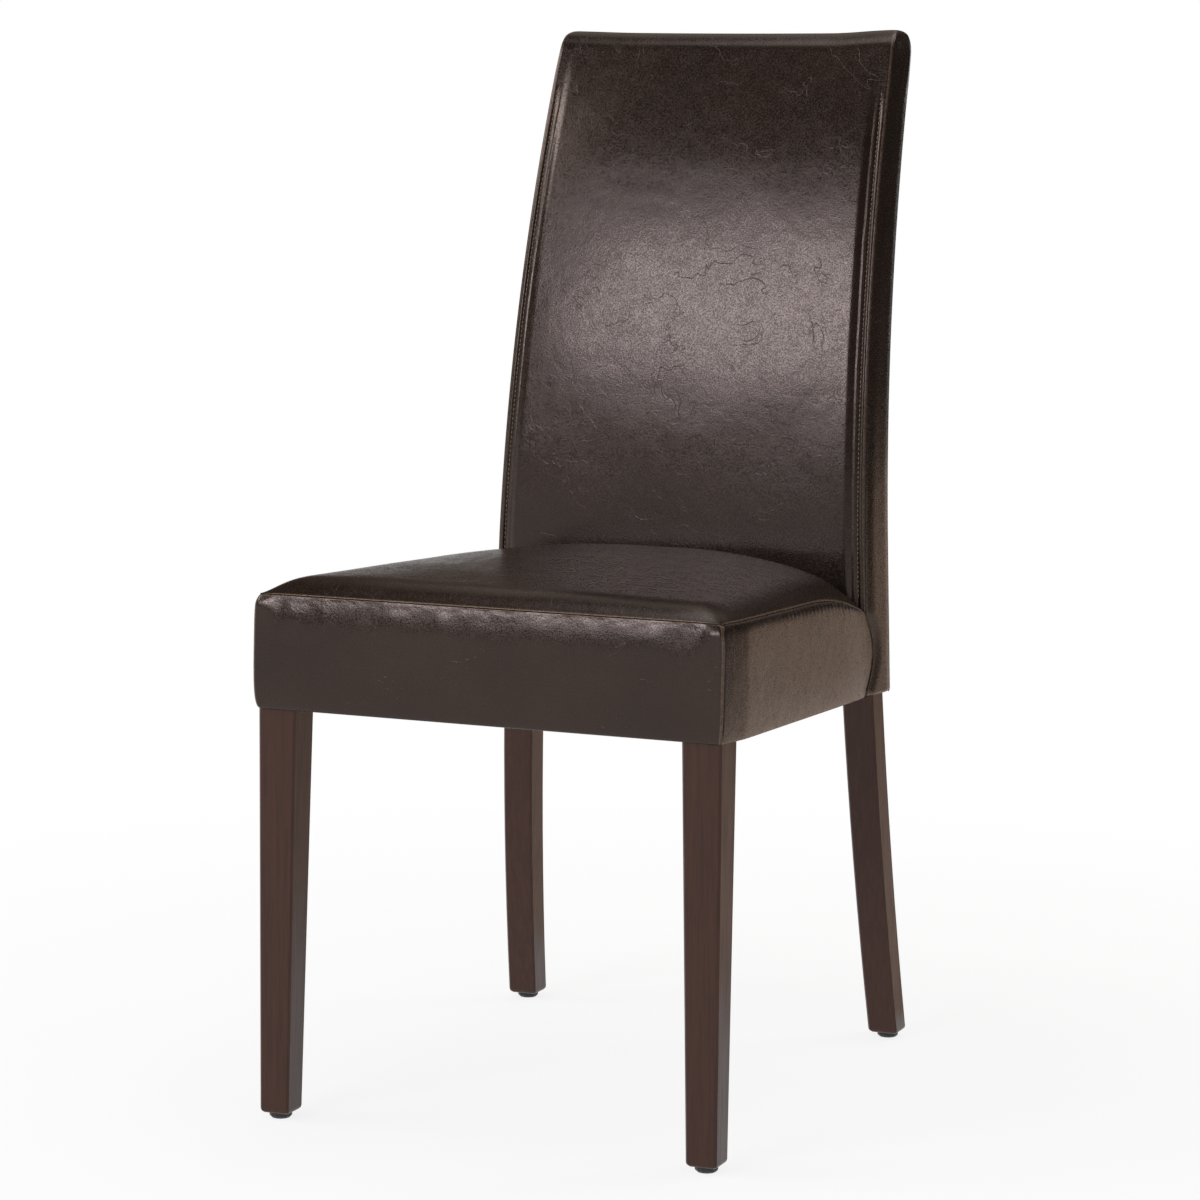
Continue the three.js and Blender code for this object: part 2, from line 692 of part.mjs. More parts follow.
function sideBandPoint(side, v, row, deep) {
  const share = bandShares[row][0];
  const out = bandOut(row) * (1 - v ** bandFadeExponent);
  const start = deep - out + seamGap / 2;
  const y = mix(start, earLine(share), v);
  const top = seamHeight(y, 1) - seamGap;
  const z = mix(top, underHeight(y), share) + turnOf(row) * deep;
  const x = side * (sideHalf(y, z) + out - deep);
  return easeCorner(at(x, y, z), 0, y - start);
}

function frontBand() {
  const place = (c, r, deep) => {
    const layer = deep ? coverThick : 0;
    if (r < hemRow) return frontBandPoint(crossShares[c], r, layer);
    const edge = frontBandPoint(crossShares[c], hemRow - 1, 0);
    return at(edge.x, hemWidth, underHeight(hemWidth) + layer);
  };
  const clear = frontRailEnd - fitGap;
  const onRail = (c) => Math.abs(crossShares[c] * seatWidthFront) / 2 < clear;
  const keep = (c, r) => r < hemRow - 1 || (onRail(c) && onRail(c + 1));
  return sheet(topColumns, hemRow, place, keep);
}

function sideBand(side) {
  const place = (c, r, deep) => {
    const layer = deep ? coverThick : 0;
    if (r < hemRow) return sideBandPoint(side, depthShares[c], r, layer);
    const edge = sideBandPoint(side, depthShares[c], hemRow - 1, 0);
    return at(side * (Math.abs(edge.x) - hemWidth), edge.y, edge.z + layer);
  };
  const onRail = (c) => sideBandPoint(side, depthShares[c], hemRow - 1, 0).y > frontLegTop + fitGap;
  const keep = (c, r) => r < hemRow - 1 || (onRail(c) && onRail(c + 1));
  return sheet(topRows, hemRow, place, keep);
}

const waddingOut = coverThick + fitGap;
const waddingIn = waddingOut + waddingThick;
const foamTop = waddingIn + fitGap;
const foamLow = weaveTop + fitGap;

function seatTopPanel() {
  const place = (c, r, deep) => seatTop(crossShares[c], depthShares[r], deep ? coverThick : 0);
  return sheet(topColumns, topRows, place);
}

function seatWadding() {
  const place = (c, r, deep) => seatTop(crossShares[c], depthShares[r], deep ? waddingIn : waddingOut);
  return sheet(topColumns, topRows, place);
}

function seatFoam() {
  const place = (c, r, deep) => {
    const top = seatTop(crossShares[c], depthShares[r], foamTop);
    if (!deep) return top;
    const u = crossShares[c];
    const y = mix(railInset, seatRearLine(u), depthShares[r]);
    return at(u * Math.min(sideOuter(y), seatHalf(y) - railInset), y, foamLow - fallAt(y));
  };
  return sheet(topColumns, topRows, place);
}

// Thin strips glued to the frame's outer faces, between the seam and the lower edge
const stripRows = [2, 3, 4, 5, 6];

function frontStrip() {
  const place = (c, r, deep) => {
    const face = frontBandPoint(crossShares[c], stripRows[r], coverThick + fitGap);
    const limit = seatWidthFront / 2 - cornerEase;
    const x = Math.sign(face.x) * Math.min(Math.abs(face.x), limit);
    return at(x, deep ? -fitGap : face.y, face.z);
  };
  return sheet(topColumns, stripRows.length - 1, place);
}

function sideStrip(side) {
  const shares = depthShares.slice(1, -2);
  const place = (c, r, deep) => {
    const face = sideBandPoint(side, shares[c], stripRows[r], coverThick + fitGap);
    const inner = sideHalf(face.y, face.z) + fitGap;
    return at(side * (deep ? inner : Math.abs(face.x)), face.y, face.z);
  };
  return sheet(shares.length - 1, stripRows.length - 1, place);
}

function dustCover() {
  const clear = fitGap + dustCoverThick;
  const front = dustCoverInset;
  const legIn = seatWidthFront / 2 - frontLegTop - clear;
  const legBack = frontLegTop + clear;
  const rear = rearRailFront + railThick - fitGap;
  const postIn = postOuter(kneeLow) - postWidth(kneeLow) - clear;
  const postOn = postFront(kneeLow) - clear;
  const half = (y) => seatHalf(y) - dustCoverInset;
  const right = [
    [legIn, front], [legIn, legBack], [half(legBack), legBack],
    [half(postOn), postOn], [postIn, postOn], [postIn, rear],
  ];
  const left = right.map(([x, y]) => [-x, y]).reverse();
  const top = seatUnderHeight - fitGap;
  return prism([...right, ...left], top - dustCoverThick, top);
}

// Back padding and cover

const backShares = evenly(backColumns).map((t) => Math.sin((t - 0.5) * Math.PI));
const backRoundLow = chairHeight - backTopRound;

// Where a layer's front and rear faces lie, level by level, with the top edges rounded over
function backStations(inset, levels) {
  const stations = levels.map((z) => ({ z, front: backFront(z) + inset, rear: backRear(z) - inset }));
  const radius = backTopRound - inset;
  for (const t of evenly(roundSteps).slice(1)) {
    const angle = (t * Math.PI) / 2;
    const turn = radius * (1 - Math.cos(angle));
    const z = backRoundLow + radius * Math.sin(angle);
    const front = backFront(backRoundLow) + inset + turn;
    stations.push({ z, front, rear: backRear(backRoundLow) - inset - turn });
  }
  return stations;
}

const backSwellAt = (u, z) => backSwell * swellAcross(u) * smooth((chairHeight - z) / swellFade);

// A level's height at u across the back: the top corners are rounded
function settled(u, z) {
  const near = clip((Math.abs(u) - topCornerShare) / (1 - topCornerShare));
  return z - topCornerDrop * near ** 2 * smooth((z - chairHeight + topCornerFade) / topCornerFade);
}

// Front panel: up the front, over the top, and down to the seam on the rear
function backFrontPanel() {
  const path = (inset) => {
    const stations = backStations(inset, backLevels);
    const down = stations.slice(backLevels.length - 1).reverse();
    return [
      ...stations.map(({ z, front }) => ({ y: front, z, swell: 1 })),
      ...down.map(({ z, rear }) => ({ y: rear, z, swell: 0 })),
    ];
  };
  const outer = path(0);
  const inner = path(coverThick);
  const place = (c, r, deep) => {
    const u = backShares[c];
    const { y, z, swell } = (deep ? inner : outer)[r];
    const half = backHalf(z) - (deep ? coverThick : 0) - seamGap / 2;
    return at(u * half, y - swell * backSwellAt(u, z), settled(u, z));
  };
  return sheet(backColumns, outer.length - 1, place);
}

// Levels of the side panel: the lowest follow the seat's ear
const earTop = seamHeight(earStart, 1);

function backSidePanel(side) {
  const earRows = bandShares.slice(1).map(([share]) => share).reverse();
  const low = earRows.map((share) => (deep) => ({
    front: Math.max(earLine(share) + seamGap, backFront(kneeHigh) + seamGap / 2 + (deep ? coverThick : 0)),
    rear: backRearLow,
    height: (y) => mix(earTop, underHeight(y), share),
  }));
  const levels = backLevels.filter((z) => z > earTop + overrun);
  const place = (c, r, deep) => {
    const layer = deep ? coverThick : 0;
    const t = c / sideColumns;
    if (r < low.length) {
      const row = low[r](deep);
      const y = mix(row.front, row.rear - layer - seamGap / 2, t);
      const z = row.height(y);
      return at(side * (backHalf(z) - layer), y, z);
    }
    const { z, front, rear } = backStations(layer + seamGap / 2, levels)[r - low.length];
    return at(side * (backHalf(z) - layer), mix(front, rear, t), settled(side, z));
  };
  const rows = low.length + levels.length + roundSteps - 1;
  return sheet(sideColumns, rows, place);
}

function backRearPanel() {
  const levels = [...backLevels].reverse();
  levels[0] -= seamGap;
  const lowest = underHeight(backRearLow);
  levels.push(...kneeLevels.slice(1, -1).reverse(), lowest);
  const place = (c, r, deep) => {
    const u = backShares[c];
    const layer = deep ? coverThick : 0;
    if (r < levels.length) {
      const z = levels[r] + (deep && r === levels.length - 1 ? coverThick : 0);
      return at(u * (backHalf(z) - layer - seamGap / 2), backRear(z) - layer, settled(u, z));
    }
    const post = postOuter(kneeLow) - postWidth(kneeLow) - fitGap;
    const x = u * (backHalf(lowest) - layer - seamGap / 2);
    const hem = Math.abs(x) < post ? backRearLow - rearHemWidth : kneeRear + postClearance;
    return at(x, hem, underHeight(hem) + layer);
  };
  const keep = (c, r) => r < levels.length - 1 || (c > 0 && c < backColumns - 1);
  return sheet(backColumns, levels.length, place, keep);
}

function backFrontFoam() {
  const layer = coverThick + fitGap;
  const stations = backStations(layer, backLevels);
  const place = (c, r, deep) => {
    const u = backShares[c];
    const { z, front } = stations[r];
    const x = u * (backHalf(z) - layer);
    const height = settled(u, z);
    const rear = postFront(Math.min(height, postTop)) - fitGap;
    return at(x, deep ? rear : front - backSwellAt(u, z), height);
  };
  return sheet(backColumns, stations.length - 1, place);
}

function backRearPadding() {
  const layer = coverThick + fitGap;
  const levels = [...kneeLevels.slice(0, -1), ...backLevels.slice(0, -1)];
  levels[0] += layer;
  const place = (c, r, deep) => {
    const z = levels[r];
    const x = mix(-1, 1, c / sideColumns) * (backHalf(z) - layer);
    return at(x, deep ? postRear(z) + seamGap : backRear(z) - layer, z);
  };
  return sheet(sideColumns, levels.length - 1, place);
}

// Strip over the crest rail and the tops of the posts
function backTopPadding() {
  const low = postTop + fitGap;
  const high = chairHeight - coverThick - fitGap;
  const front = postFront(postTop) + fitGap;
  const rear = postRear(postTop) - fitGap;
  const half = backHalf(chairHeight) - coverThick - fitGap;
  const section = (u) => {
    const x = u * half;
    const top = settled(u, high);
    return [
      at(x, front, low), at(x, rear, low), at(x, rear, low + fitGap),
      at(x, rear - topPadThick, top), at(x, front, top),
    ];
  };
  return loft(backShares.map(section));
}

// Assembly

const frameGroup = new THREE.Group();
for (const [word, side] of sides) {
  frameGroup.add(named(`front_leg_${word}`, frontLeg(side), stainedWood));
  frameGroup.add(named(`rear_post_${word}`, rearPost(side), stainedWood));
  frameGroup.add(named(`side_rail_${word}`, sideRail(side), rawWood));
}
frameGroup.add(named('front_rail', frontRail(), rawWood));
frameGroup.add(named('rear_rail', rearRail(), rawWood));
for (const rail of backRails) frameGroup.add(named(rail.name, backRail(rail), rawWood));
for (const corner of corners) {
  frameGroup.add(named(`corner_block_${corner.name}`, cornerBlock(corner), rawWood));
}
for (const seat of allSeats()) {
  const screw = named(seat.name, screwShape(), steel);
  screw.position.copy(seat.head).addScaledVector(seat.way, -fitGap);
  screw.quaternion.setFromUnitVectors(at(0, -1, 0), seat.way);
  frameGroup.add(screw);
}
for (const [word, side] of sides) {
  for (const [end, foot] of [['front', frontFoot(side)], ['rear', rearFoot(side)]]) {
    const glide = named(`glide_${end}_${word}`, glideShape(), nylon);
    glide.position.copy(foot);
    frameGroup.add(glide);
  }
}

const seatGroup = new THREE.Group();
const placeWords = ['left', 'middle', 'right'];
const rowWords = ['front', 'centre', 'rear'];
strapPlaces.forEach((k, i) => {
  seatGroup.add(named(`seat_webbing_long_${placeWords[i]}`, longStrap(k), webbing));
  seatGroup.add(named(`seat_webbing_cross_${rowWords[i]}`, crossStrap(k), webbing));
});
seatGroup.add(named('seat_foam', seatFoam(), foam));
seatGroup.add(named('seat_wadding', seatWadding(), wadding));
seatGroup.add(named('edge_padding_front', frontStrip(), foam));
seatGroup.add(named('seat_top_panel', seatTopPanel(), leather));
seatGroup.add(named('seat_front_band', frontBand(), leather));
for (const [word, side] of sides) {
  seatGroup.add(named(`edge_padding_${word}`, sideStrip(side), foam));
  seatGroup.add(named(`seat_side_band_${word}`, sideBand(side), leather));
}
seatGroup.add(named('dust_cover', dustCover(), blackCloth));

const backGroup = new THREE.Group();
strapPlaces.forEach((k, i) => {
  backGroup.add(named(`back_webbing_${placeWords[i]}`, backStrap(k), webbing));
});
backGroup.add(named('back_front_foam', backFrontFoam(), foam));
backGroup.add(named('back_rear_padding', backRearPadding(), wadding));
backGroup.add(named('back_top_padding', backTopPadding(), foam));
backGroup.add(named('back_front_panel', backFrontPanel(), leather));
backGroup.add(named('back_rear_panel', backRearPanel(), leather));
for (const [word, side] of sides) {
  backGroup.add(named(`back_side_panel_${word}`, backSidePanel(side), leather));
}

// The origin is on the floor, under the middle of the chair
const chair = new THREE.Group();
chair.add(frameGroup, seatGroup, backGroup);
const bounds = new THREE.Box3().setFromObject(chair);
const middle = bounds.getCenter(at(0, 0, 0));
chair.position.set(-middle.x, -middle.y, -bounds.min.z);

export default chair;
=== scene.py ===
import math

import bmesh
import bpy
from mathutils import Matrix, Vector, noise


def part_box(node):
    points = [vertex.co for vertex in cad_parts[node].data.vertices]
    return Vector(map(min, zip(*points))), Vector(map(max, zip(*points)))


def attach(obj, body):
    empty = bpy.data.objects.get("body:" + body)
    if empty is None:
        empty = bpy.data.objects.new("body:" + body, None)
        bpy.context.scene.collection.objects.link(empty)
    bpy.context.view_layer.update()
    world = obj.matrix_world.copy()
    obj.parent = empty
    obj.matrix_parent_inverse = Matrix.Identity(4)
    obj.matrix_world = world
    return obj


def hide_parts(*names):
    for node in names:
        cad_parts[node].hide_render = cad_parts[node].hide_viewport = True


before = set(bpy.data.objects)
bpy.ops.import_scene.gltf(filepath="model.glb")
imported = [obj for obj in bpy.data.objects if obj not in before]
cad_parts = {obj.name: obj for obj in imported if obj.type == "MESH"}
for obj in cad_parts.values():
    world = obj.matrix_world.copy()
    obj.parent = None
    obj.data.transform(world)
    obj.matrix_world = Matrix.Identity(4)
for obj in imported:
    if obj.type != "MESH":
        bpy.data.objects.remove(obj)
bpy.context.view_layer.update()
scene = bpy.context.scene
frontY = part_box("front_leg_left")[0].y  # the front legs' face, where every y below starts


# The photograph's camera

photoCamera = {
    "place": (1.3848, -2.9808, 0.9349),
    "yaw": 23.147,  # turned left from straight ahead
    "pitch": 7.610,  # looking down
    "roll": 0.519,
    "focalPixels": 3768.2,
    "imagePixels": 1200,
    "sensor": 36.0,
}


def makeCamera():
    yaw, pitch, roll = (math.radians(photoCamera[k]) for k in ("yaw", "pitch", "roll"))
    ahead = Vector((-math.sin(yaw) * math.cos(pitch), math.cos(yaw) * math.cos(pitch), -math.sin(pitch)))
    level = Vector((math.cos(yaw), math.sin(yaw), 0))
    upright = level.cross(ahead)
    right = level * math.cos(roll) + upright * math.sin(roll)
    up = upright * math.cos(roll) - level * math.sin(roll)
    data = bpy.data.cameras.new("photoCamera")
    data.sensor_width = photoCamera["sensor"]
    data.lens = photoCamera["focalPixels"] / photoCamera["imagePixels"] * photoCamera["sensor"]
    camera = bpy.data.objects.new("photoCamera", data)
    scene.collection.objects.link(camera)
    turn = Matrix((right, up, -ahead)).transposed().to_4x4()
    camera.matrix_world = Matrix.Translation(Vector(photoCamera["place"]) + Vector((0, frontY, 0))) @ turn
    scene.camera = camera


makeCamera()
print("camera placed")


# Small helpers

def mix(a, b, t):
    return a + (b - a) * t


def clip(t):
    return min(1.0, max(0.0, t))


def smooth(t):
    t = clip(t)
    return t * t * (3 - 2 * t)


def bell(distance, middle, width):
    return math.exp(-(((distance - middle) / width) ** 2))


def wearAndHighlightAt(distance, wearAndHighlight):  # the seam's wear and painted highlight, as its strength, its distance from a seam and its width
    strength, middle, width = wearAndHighlight
    return strength * bell(distance, middle, width)


def rolled(distance, radius):  # how far a round edge has turned in, this far from its seam
    if distance >= radius:
        return 0.0
    return radius - math.sqrt(radius * radius - (radius - max(0.0, distance)) ** 2)


def ripple(x, y, size, seed):  # smooth noise between about -1 and 1
    return noise.noise(Vector((x / size, y / size, seed)))


def stops(length, step, edge, farEdge=None):  # shares of a length, close together at both ends
    far = edge if farEdge is None else farEdge
    start, end = edge[-1], length - far[-1]
    count = max(1, round((end - start) / step))
    middle = [mix(start, end, i / count) for i in range(1, count)]
    places = list(edge) + middle + [length - d for d in reversed(far)]
    return [p / length for p in places]


seamSteps = (0, 0.0003, 0.0007, 0.0012, 0.0018, 0.0026, 0.0036, 0.0048, 0.0062, 0.008, 0.0105, 0.014)


def gridMesh(columns, rows):  # a flat grid that remembers each corner's share across and along
    bm = bmesh.new()
    across = bm.verts.layers.float.new("across")
    along = bm.verts.layers.float.new("along")
    bmesh.ops.create_grid(bm, x_segments=len(columns) - 1, y_segments=len(rows) - 1, size=0.5)
    for i, vert in enumerate(bm.verts):
        row, column = divmod(i, len(columns))
        vert[across] = columns[column]
        vert[along] = rows[row]
    return bm, across, along


def roundFaces(bm):  # turns the faces outward and shades them smooth
    bmesh.ops.recalc_face_normals(bm, faces=bm.faces[:])
    for face in bm.faces:
        face.smooth = True


def pieceFrom(name, bm, materials):
    mesh = bpy.data.meshes.new(name)
    bm.to_mesh(mesh)
    bm.free()
    for material in materials:
        mesh.materials.append(material)
    piece = bpy.data.objects.new(name, mesh)
    scene.collection.objects.link(piece)
    return piece


def closedForm(name, columns, rows, outer, inner, materials, keep=None, wearAndHighlight=None):
    # a skin placed by outer, with its wall drawn through to the places that inner gives
    bm, across, along = gridMesh(columns, rows)
    wornAndHighlit = bm.verts.layers.float.new("wearAndHighlight")
    if keep:
        lost = [f for f in bm.faces if not all(keep(v[across], v[along]) for v in f.verts)]
        bmesh.ops.delete(bm, geom=lost, context="FACES")
    drawn = bmesh.ops.extrude_face_region(bm, geom=bm.faces[:], use_keep_orig=True)["geom"]
    hidden = {item for item in drawn if isinstance(item, (bmesh.types.BMVert, bmesh.types.BMFace))}
    for vert in bm.verts:
        place = inner if vert in hidden else outer
        vert.co = place(vert[across], vert[along]) + Vector((0, frontY, 0))
        # each outer corner keeps how much seam wear and painted highlight its leather shows
        if wearAndHighlight and vert not in hidden:
            vert[wornAndHighlit] = wearAndHighlight(vert[across], vert[along])
    roundFaces(bm)
    if len(materials) > 1:
        for face in bm.faces:
            face.material_index = int(face in hidden)
    for layer in ("across", "along"):
        bm.verts.layers.float.remove(bm.verts.layers.float[layer])
    return pieceFrom(name, bm, materials)


# Materials

class Nodes:  # short words for the shader nodes of a material or the world
    def __init__(self, name, world=False):
        self.owner = (bpy.data.worlds if world else bpy.data.materials).new(name)
        self.owner.use_nodes = True
        self.tree = self.owner.node_tree
        self.shader = self.tree.nodes["Background" if world else "Principled BSDF"]
        self.coordinates = self.add("ShaderNodeTexCoord").outputs["Generated" if world else "Object"]

    def feed(self, socket, value):  # with a number, a colour, a vector or another node's output
        if isinstance(value, bpy.types.NodeSocket):
            self.tree.links.new(value, socket)
        elif value is not None:
            socket.default_value = (*value, 1) if socket.type == "RGBA" else value

    def add(self, kind, inputs=None, **settings):
        node = self.tree.nodes.new(kind)
        for key, value in settings.items():
            setattr(node, key, value)
        for name, value in (inputs or {}).items():
            self.feed(node.inputs[name], value)
        return node

    def scaled(self, scale, turn=(0, 0, 0), vector=None):  # coordinates turned, then scaled
        turned = self.add("ShaderNodeMapping", {"Vector": vector or self.coordinates, "Rotation": turn})
        return self.add("ShaderNodeMapping", {"Vector": turned.outputs[0], "Scale": scale}).outputs[0]

    def bent(self, amount, scale):  # coordinates pushed about by a slow noise
        swirl = self.add("ShaderNodeTexNoise", {"Vector": self.coordinates, "Scale": scale}).outputs["Color"]
        shift = self.add("ShaderNodeVectorMath", {0: swirl, "Scale": amount}, operation="SCALE").outputs[0]
        return self.add("ShaderNodeVectorMath", {0: self.coordinates, 1: shift}, operation="ADD").outputs[0]

    def noise(self, scale, detail=2.0, roughness=0.5, distortion=0.0, vector=None):
        inputs = {"Vector": vector or self.coordinates, "Scale": scale, "Detail": detail,
                  "Roughness": roughness, "Distortion": distortion}
        return self.add("ShaderNodeTexNoise", inputs).outputs["Fac"]

    def cells(self, scale):
        inputs = {"Vector": self.coordinates, "Scale": scale}
        return self.add("ShaderNodeTexVoronoi", inputs).outputs["Distance"]

    def math(self, operation, a, b=0.5):
        return self.add("ShaderNodeMath", {0: a, 1: b}, operation=operation).outputs["Value"]

    def seen(self):  # 1 to the camera, in mirrors and through glass, 0 to scattered light
        path = self.add("ShaderNodeLightPath").outputs
        straight = self.math("MAXIMUM", path["Is Camera Ray"], path["Is Transmission Ray"])
        return self.math("MAXIMUM", straight, path["Is Glossy Ray"])

    def ramp(self, source, places):  # places are (position, value or colour)
        node = self.add("ShaderNodeValToRGB", {"Fac": source})
        points = node.color_ramp.elements
        while len(points) < len(places):
            points.new(0.5)
        for point, (position, value) in zip(points, places):
            point.position = position
            point.color = (*value, 1) if isinstance(value, tuple) else (value, value, value, 1)
        return node.outputs["Color"]

    def blend(self, share, a, b):
        return self.add("ShaderNodeMix", {0: share, 6: a, 7: b}, data_type="RGBA").outputs[2]

    def lines(self, scale, width, detail, vector=None):  # 0 along thin wandering lines, 1 between them
        level = self.math("SUBTRACT", self.noise(scale, detail, 0.6, 0.6, vector), 0.5)
        return self.ramp(self.math("ABSOLUTE", level), ((0.0, 0.0), (width, 1.0)))

    def bump(self, height, distance, strength=1.0, below=None):
        inputs = {"Height": height, "Distance": distance, "Strength": strength, "Normal": below}
        return self.add("ShaderNodeBump", inputs).outputs["Normal"]

    def finish(self, color=None, roughness=None, normal=None, **others):
        inputs = {"Base Color": color, "Roughness": roughness, "Normal": normal, **others}
        for name, value in inputs.items():
            self.feed(self.shader.inputs[name.replace("_", " ")], value)
        return self.owner


leatherLook = {
    "dark": (0.0080, 0.0042, 0.0028),
    "light": (0.0170, 0.0100, 0.0072),
    "wornAndHighlit": (0.190, 0.128, 0.088),  # where it is stretched over a seam, plus a painted highlight on seam ridges, folds and rounded edges
    "smoothest": 0.17,
    "roughest": 0.38,
    "shineTint": (1.0, 0.79, 0.71),
    "grain": 660,  # grains in a metre
    "grainDepth": 0.00010,
    "hairs": (400, 400, 640),  # fine wrinkles, a little longer along the pull
    "hairTurn": 35,
    "hairDepth": 0.00005,
    "creases": 19,
    "creaseWidth": 0.008,
    "creaseDepth": 0.00010,
    "creaseGaps": 24,
    "swells": 15,  # slow swells in a metre
    "swellDepth": 0.0006,
    "dimples": 62,
    "dimpleDepth": 0.00022,
    "clouds": 9,  # slow changes of its colour
    "wearAndHighlightPatches": 260,
    "hairPatches": 10,
    "dullPatches": 70,
    "dullShares": (0.74, 0.06, 0.20),  # of the grain, the fine wrinkles and the patches
}


def makeLeather():
    n = Nodes("darkBrownLeather")
    look = leatherLook
    clouds = n.noise(look["clouds"], 4, 0.6)
    color = n.blend(n.ramp(clouds, ((0.3, 0.0), (0.75, 1.0))), look["dark"], look["light"])
    # paler along seams, folds and rounded edges: partly stretch wear, partly a painted highlight
    wearAndHighlight = n.add("ShaderNodeAttribute", attribute_name="wearAndHighlight").outputs["Fac"]
    patchy = n.ramp(n.noise(look["wearAndHighlightPatches"], 3, 0.6), ((0.36, 0.45), (0.6, 1.0)))
    color = n.blend(n.math("MULTIPLY", wearAndHighlight, patchy), color, look["wornAndHighlit"])
    grain = n.noise(look["grain"], 2, 0.5)
    pull = n.scaled(look["hairs"], (0, math.radians(look["hairTurn"]), 0), n.bent(0.003, 14))
    hairs = n.noise(1.0, 3, 0.6, 0.3, pull)
    crease = n.lines(look["creases"], look["creaseWidth"], 3, n.bent(0.02, 20))
    fade = n.ramp(n.noise(look["creaseGaps"], 2, 0.5), ((0.36, 0.0), (0.54, 1.0)))
    crease = n.math("MAXIMUM", crease, fade)
    patches = n.ramp(n.noise(look["hairPatches"], 2, 0.5), ((0.38, 0.25), (0.60, 1.0)))
    parts = (grain, hairs, n.noise(look["dullPatches"], 3, 0.6))
    grainPart, hairPart, patchPart = (n.math("MULTIPLY", p, s) for p, s in zip(parts, look["dullShares"]))
    dull = n.math("ADD", n.math("ADD", grainPart, hairPart), patchPart)
    dull = n.ramp(dull, ((0.37, look["roughest"]), (0.62, look["smoothest"])))
    rough = n.blend(crease, (look["roughest"],) * 3, dull)
    normal = n.bump(n.noise(look["swells"], 2, 0.5, 0.4), look["swellDepth"])
    normal = n.bump(n.noise(look["dimples"], 3, 0.55, 0.5), look["dimpleDepth"], 1.0, normal)
    normal = n.bump(crease, look["creaseDepth"], 1.0, normal)
    hairs = n.math("MULTIPLY", n.math("SUBTRACT", hairs, 0.5), patches)
    normal = n.bump(hairs, look["hairDepth"], 1.0, normal)
    normal = n.bump(grain, look["grainDepth"], 1.0, normal)
    return n.finish(color, rough, normal, Specular_Tint=look["shineTint"])


woodLook = {
    "dark": (0.022, 0.0078, 0.0050),
    "light": (0.056, 0.0185, 0.0115),
    "roughness": (0.30, 0.42),
    "shineTint": (1.0, 0.84, 0.77),
    "grain": (330, 330, 12),  # fine across, long up the leg
    "pores": (1400, 1400, 45),
}


def makeStainedWood():
    n = Nodes("espressoStainedWood")
    look = woodLook
    grain = n.noise(1.0, 5, 0.6, 0.4, n.scaled(look["grain"]))
    pores = n.noise(1.0, 3, 0.5, 0, n.scaled(look["pores"]))
    color = n.blend(n.ramp(grain, ((0.22, 0.0), (0.80, 1.0))), look["dark"], look["light"])
    color = n.blend(n.ramp(pores, ((0.34, 0.65), (0.46, 0.0))), color, look["dark"])
    low, high = look["roughness"]
    rough = n.ramp(grain, ((0.3, high), (0.7, low)))
    height = n.math("ADD", n.math("MULTIPLY", grain, 0.4), pores)
    normal = n.bump(height, 0.00010, 0.5)
    return n.finish(color, rough, normal, Specular_IOR_Level=0.42, Specular_Tint=look["shineTint"])


def makeRawWood():
    n = Nodes("rubberwood")
    grain = n.noise(1.0, 5, 0.6, 0.8, n.scaled((60, 60, 60)))
    streaks = n.noise(1.0, 4, 0.6, 0.3, n.scaled((12, 420, 420)))
    color = n.blend(n.math("MULTIPLY", grain, streaks), (0.62, 0.43, 0.27), (0.42, 0.26, 0.14))
    return n.finish(color, 0.68, n.bump(streaks, 0.0003, 0.4))


def makeWebbing():
    n = Nodes("wovenWebbing")
    inputs = {"Vector": n.coordinates, "Scale": 160}
    weave = n.add("ShaderNodeTexWave", inputs, bands_direction="DIAGONAL").outputs["Fac"]
    color = n.blend(weave, (0.30, 0.23, 0.14), (0.46, 0.38, 0.25))
    return n.finish(color, 0.88, n.bump(weave, 0.0005, 0.7))


def makeBlackCloth():
    n = Nodes("blackUndercloth")
    fibres = n.noise(900, 4, 0.7, 1.5)
    dots = n.cells(480)
    color = n.blend(fibres, (0.008, 0.008, 0.009), (0.030, 0.030, 0.033))
    return n.finish(color, 0.92, n.bump(n.math("ADD", fibres, dots), 0.0003, 0.6), Sheen_Weight=0.2)


def makeNylon():
    n = Nodes("blackNylon")
    speckle = n.noise(1500, 3, 0.6)
    color = n.blend(speckle, (0.010, 0.010, 0.010), (0.022, 0.021, 0.020))
    return n.finish(color, n.ramp(speckle, ((0.3, 0.38), (0.7, 0.55))), n.bump(speckle, 0.00008, 0.4))


def makeSteel():
    n = Nodes("yellowPassivatedSteel")
    tint = n.noise(220, 3, 0.5)
    color = n.blend(tint, (0.60, 0.47, 0.22), (0.66, 0.58, 0.42))
    rough = n.ramp(tint, ((0.3, 0.25), (0.7, 0.42)))
    return n.finish(color, rough, n.bump(tint, 0.00005, 0.4), Metallic=1.0)


def makeFoam():
    n = Nodes("paleFoam")
    holes = n.cells(700)
    color = n.blend(holes, (0.62, 0.55, 0.33), (0.80, 0.74, 0.50))
    return n.finish(color, 0.95, n.bump(holes, 0.0006, 0.8))


def makeThread():
    n = Nodes("brownThread")
    twist = n.noise(1.0, 2, 0.5, 0, n.scaled((2600, 2600, 1500)))
    color = n.blend(twist, (0.120, 0.080, 0.052), (0.260, 0.190, 0.135))
    return n.finish(color, 0.5, n.bump(twist, 0.0001, 0.6))


leather = makeLeather()
stainedWood = makeStainedWood()
rawWood = makeRawWood()
webbing = makeWebbing()
blackCloth = makeBlackCloth()
nylon = makeNylon()
steel = makeSteel()
foam = makeFoam()
thread = makeThread()
print("materials made")


# The chair's lines, with y from the front legs' face

